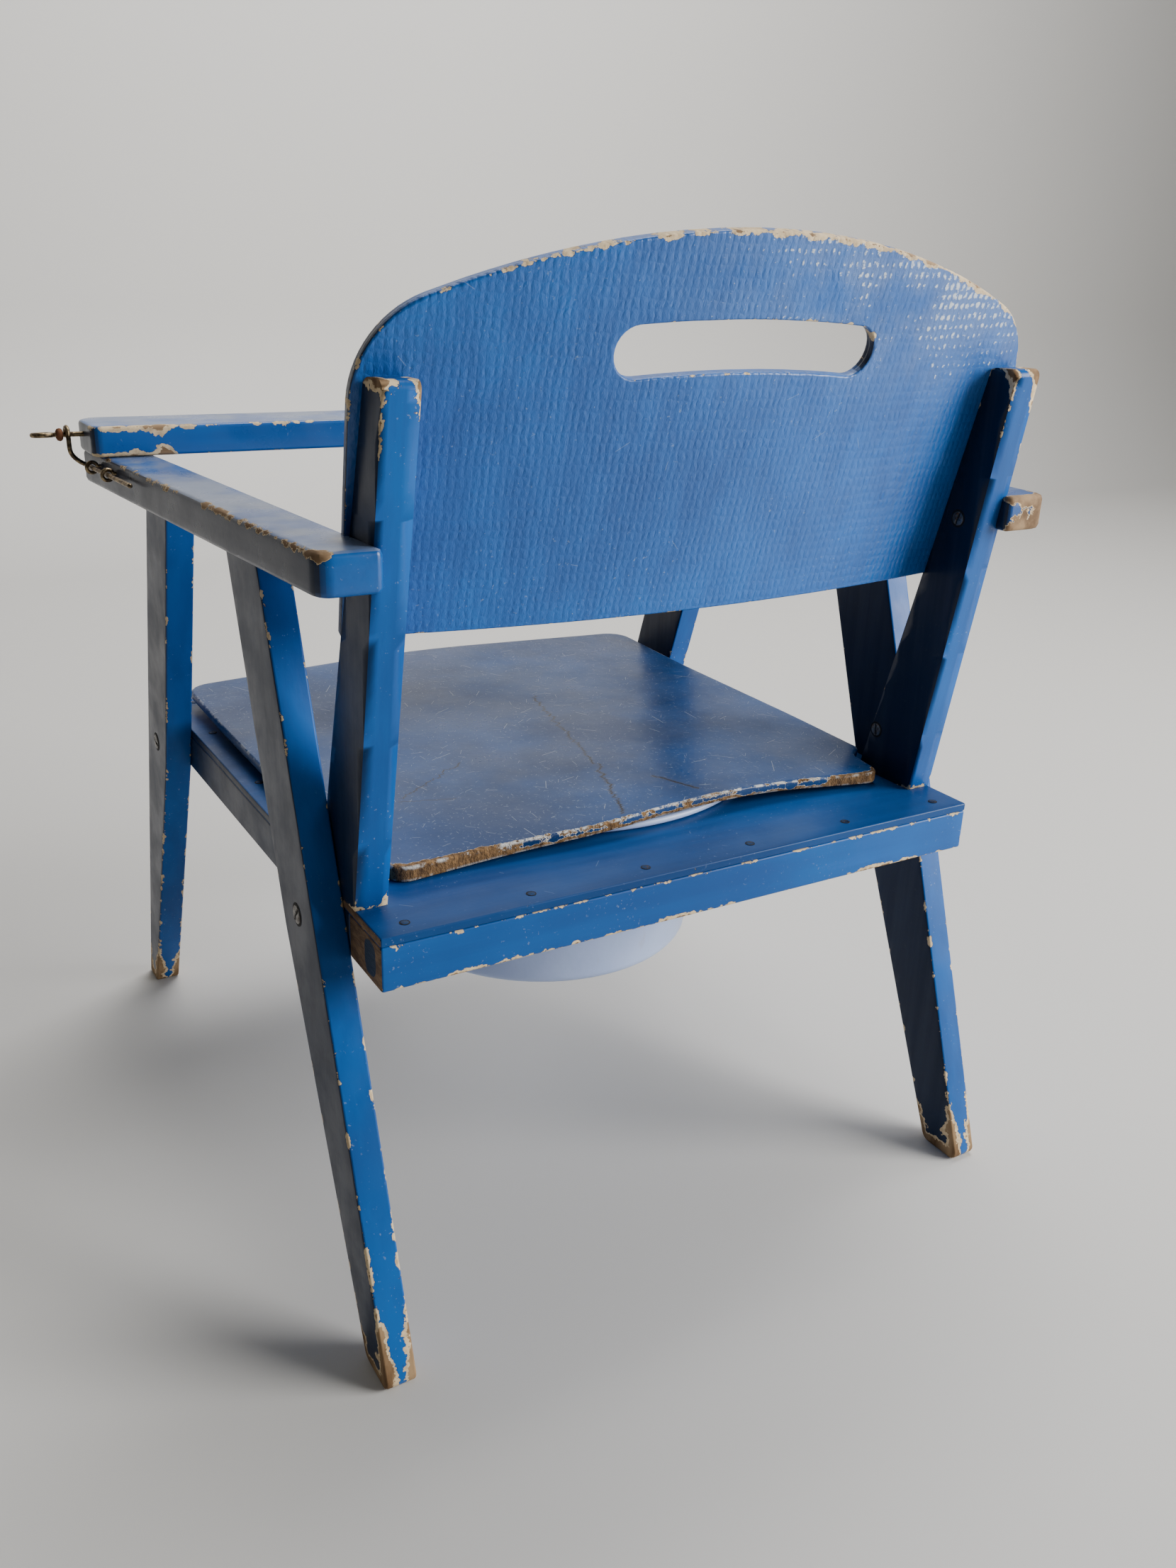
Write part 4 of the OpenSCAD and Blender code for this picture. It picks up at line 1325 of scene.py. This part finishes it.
# %% Scatter tree
def scatter_tree(name):
    """Puts the given head on every point, facing the point's own direction."""
    tree = bpy.data.node_groups.new(name, "GeometryNodeTree")
    for title, kind in (("Points", "Geometry"), ("Head", "Object"), ("Size", "Float"),
                        ("Seed", "Int"), ("Finish", "Material")):
        tree.interface.new_socket(title, in_out="INPUT", socket_type="NodeSocket" + kind)
    tree.interface.new_socket("Heads", in_out="OUTPUT", socket_type="NodeSocketGeometry")
    nodes, links = tree.nodes, tree.links
    source = nodes.new("NodeGroupInput")
    result = nodes.new("NodeGroupOutput")
    facing = nodes.new("GeometryNodeInputNamedAttribute")
    facing.data_type = "FLOAT_VECTOR"
    facing.inputs["Name"].default_value = "facing"
    align = nodes.new("FunctionNodeAlignRotationToVector")
    align.axis = "Z"
    links.new(facing.outputs["Attribute"], align.inputs["Vector"])
    random_turn = nodes.new("FunctionNodeRandomValue")
    random_turn.data_type = "FLOAT"
    random_turn.inputs[3].default_value = 2 * math.pi
    links.new(source.outputs["Seed"], random_turn.inputs["Seed"])
    spin = nodes.new("FunctionNodeAxisAngleToRotation")
    spin.inputs["Axis"].default_value = (0, 0, 1)
    links.new(random_turn.outputs[1], spin.inputs["Angle"])
    turned_head = nodes.new("FunctionNodeRotateRotation")
    turned_head.rotation_space = "LOCAL"
    links.new(align.outputs["Rotation"], turned_head.inputs["Rotation"])
    links.new(spin.outputs["Rotation"], turned_head.inputs["Rotate By"])
    head = nodes.new("GeometryNodeObjectInfo")
    links.new(source.outputs["Head"], head.inputs["Object"])
    copies = nodes.new("GeometryNodeInstanceOnPoints")
    links.new(source.outputs["Points"], copies.inputs["Points"])
    links.new(head.outputs["Geometry"], copies.inputs["Instance"])
    links.new(turned_head.outputs["Rotation"], copies.inputs["Rotation"])
    links.new(source.outputs["Size"], copies.inputs["Scale"])
    real = nodes.new("GeometryNodeRealizeInstances")
    links.new(copies.outputs["Instances"], real.inputs["Geometry"])
    painted_heads = nodes.new("GeometryNodeSetMaterial")
    links.new(real.outputs["Geometry"], painted_heads.inputs["Geometry"])
    links.new(source.outputs["Finish"], painted_heads.inputs["Material"])
    links.new(painted_heads.outputs["Geometry"], result.inputs["Heads"])
    return tree


scatter = scatter_tree("heads on points")


def scattered(name, head, places, facings, size, seed, material):
    mesh = bpy.data.meshes.new(name)
    mesh.from_pydata([tuple(place) for place in places], [], [])
    facing = mesh.attributes.new("facing", "FLOAT_VECTOR", "POINT")
    facing.data.foreach_set("vector", [part for way in facings for part in way])
    holder = bpy.data.objects.new(name, mesh)
    bpy.context.scene.collection.objects.link(holder)
    modifier = holder.modifiers.new("heads", "NODES")
    modifier.node_group = scatter
    sockets = {item.name: item.identifier for item in scatter.interface.items_tree}
    modifier[sockets["Head"]] = head
    modifier[sockets["Size"]] = size
    modifier[sockets["Seed"]] = seed
    modifier[sockets["Finish"]] = material
    return plain_mesh(holder, name)


# %% [markdown]
# The places of the heads are read from the frame: every loose solid of a fastener node
# is one screw or nail, and its head is the end that faces the given way.

# %% Find the heads
def solids(node):
    shape = bmesh.new()
    shape.from_mesh(frame["nodes"][node].data)
    bmesh.ops.remove_doubles(shape, verts=shape.verts, dist=1e-6)
    groups = []
    unseen = set(shape.verts)
    while unseen:
        group, queue = [], [unseen.pop()]
        while queue:
            vertex = queue.pop()
            group.append(vertex.co.copy())
            for edge in vertex.link_edges:
                other = edge.other_vert(vertex)
                if other in unseen:
                    unseen.remove(other)
                    queue.append(other)
        groups.append(group)
    shape.free()
    return groups


def heads(node, facing_of):
    places, facings = [], []
    for group in solids(node):
        middle = sum(group, Vector()) / len(group)
        facing = Vector(facing_of(middle)).normalized()
        top = max(point.dot(facing) for point in group)
        line = [point for point in group if point.dot(facing) > top - 0.0002]
        place = sum(line, Vector()) / len(line)
        places.append(place)
        facings.append(facing)
    return places, facings


screw_head = slotted_head("slotted head", 0.0052, 0.0007, 0.0011, 0.0006)
nail_head = slotted_head("nail head", 0.0022, 0.0004, 0.0, 0.0)


def outwards(middle):
    return (1 if middle.x > 0 else -1, 0, 0)


def inwards(middle):
    return (-1 if middle.x > 0 else 1, 0, 0)


def upwards(middle):
    return (0, 0, 1)


def back_forwards(middle):
    angle = math.asin(middle.x / bow_radius)
    return (-math.sin(angle), -math.cos(lean) * math.cos(angle), math.sin(lean) * math.cos(angle))


fasteners = [
    ("leg_screws", screw_head, outwards, 1.0, 3, steel_dull),
    ("upright_screws", screw_head, inwards, 0.8, 5, steel_dull),
    ("arm_screws", screw_head, inwards, 0.8, 8, steel_dull),
    ("seat_nails", nail_head, upwards, 1.0, 2, flaked),
    ("back_nails", nail_head, back_forwards, 1.0, 4, flaked)]
for node, head, facing_of, size, seed, material in fasteners:
    places, facings = heads(node, facing_of)
    piece = scattered("round_" + node, head, places, facings, size, seed, material)
    place_piece(piece, "frame", [node])
    print(node, len(places), "heads")
for template in (screw_head, nail_head):
    bpy.data.objects.remove(template)

# %% [markdown]
# ## Pivot bolt
# The bar turns on a slotted bolt with a washer above and below and a hexagonal nut
# under the arm. The bolt and washers are turned shapes, and the nut is a bevelled
# hexagon.

# %% Pivot
bolt_low, bolt_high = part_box("pivot_bolt")
washer_low, washer_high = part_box("pivot_washers")
nut_low, nut_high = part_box("pivot_nut")
pivot = ((bolt_low.x + bolt_high.x) / 2, (bolt_low.y + bolt_high.y) / 2)
bolt_radius = 0.003
head_radius = (bolt_high.x - bolt_low.x) / 2
head_low = washer_high.z
head_high = bolt_high.z
bolt_profile = [(0, bolt_low.z), (bolt_radius - 0.0006, bolt_low.z),
                (bolt_radius, bolt_low.z + 0.0006), (bolt_radius, head_low),
                (head_radius, head_low), (head_radius, head_low + 0.0008),
                (head_radius * 0.93, head_low + 0.0016), (head_radius * 0.75, head_high - 0.0004),
                (head_radius * 0.4, head_high), (0, head_high)]
bolt = turned(bolt_profile, pivot, 40, "pivot_bolt_turned")
place_piece(bolt, "frame", ["pivot_bolt"], steel_dull)

washer_radius = (washer_high.x - washer_low.x) / 2
washer_thickness = 0.0012
hole, arris = bolt_radius + 0.0001, 0.0003
rings = []
for z in (washer_low.z, washer_high.z - washer_thickness):
    top = z + washer_thickness
    profile = [(hole, z), (washer_radius - arris, z), (washer_radius, z + arris),
               (washer_radius, top - arris), (washer_radius - arris, top), (hole, top), (hole, z)]
    rings.append(turned(profile, pivot, 40, "washer"))
washers = joined(rings, "pivot_washers_turned")
place_piece(washers, "frame", ["pivot_washers"], steel_dull)

nut = worn_piece(wrapped("pivot_nut"), "pivot_nut_bevelled", arris=0.0004, cell=0.02)
place_piece(nut, "frame", ["pivot_nut"], steel_dull)
print("pivot at", pivot)
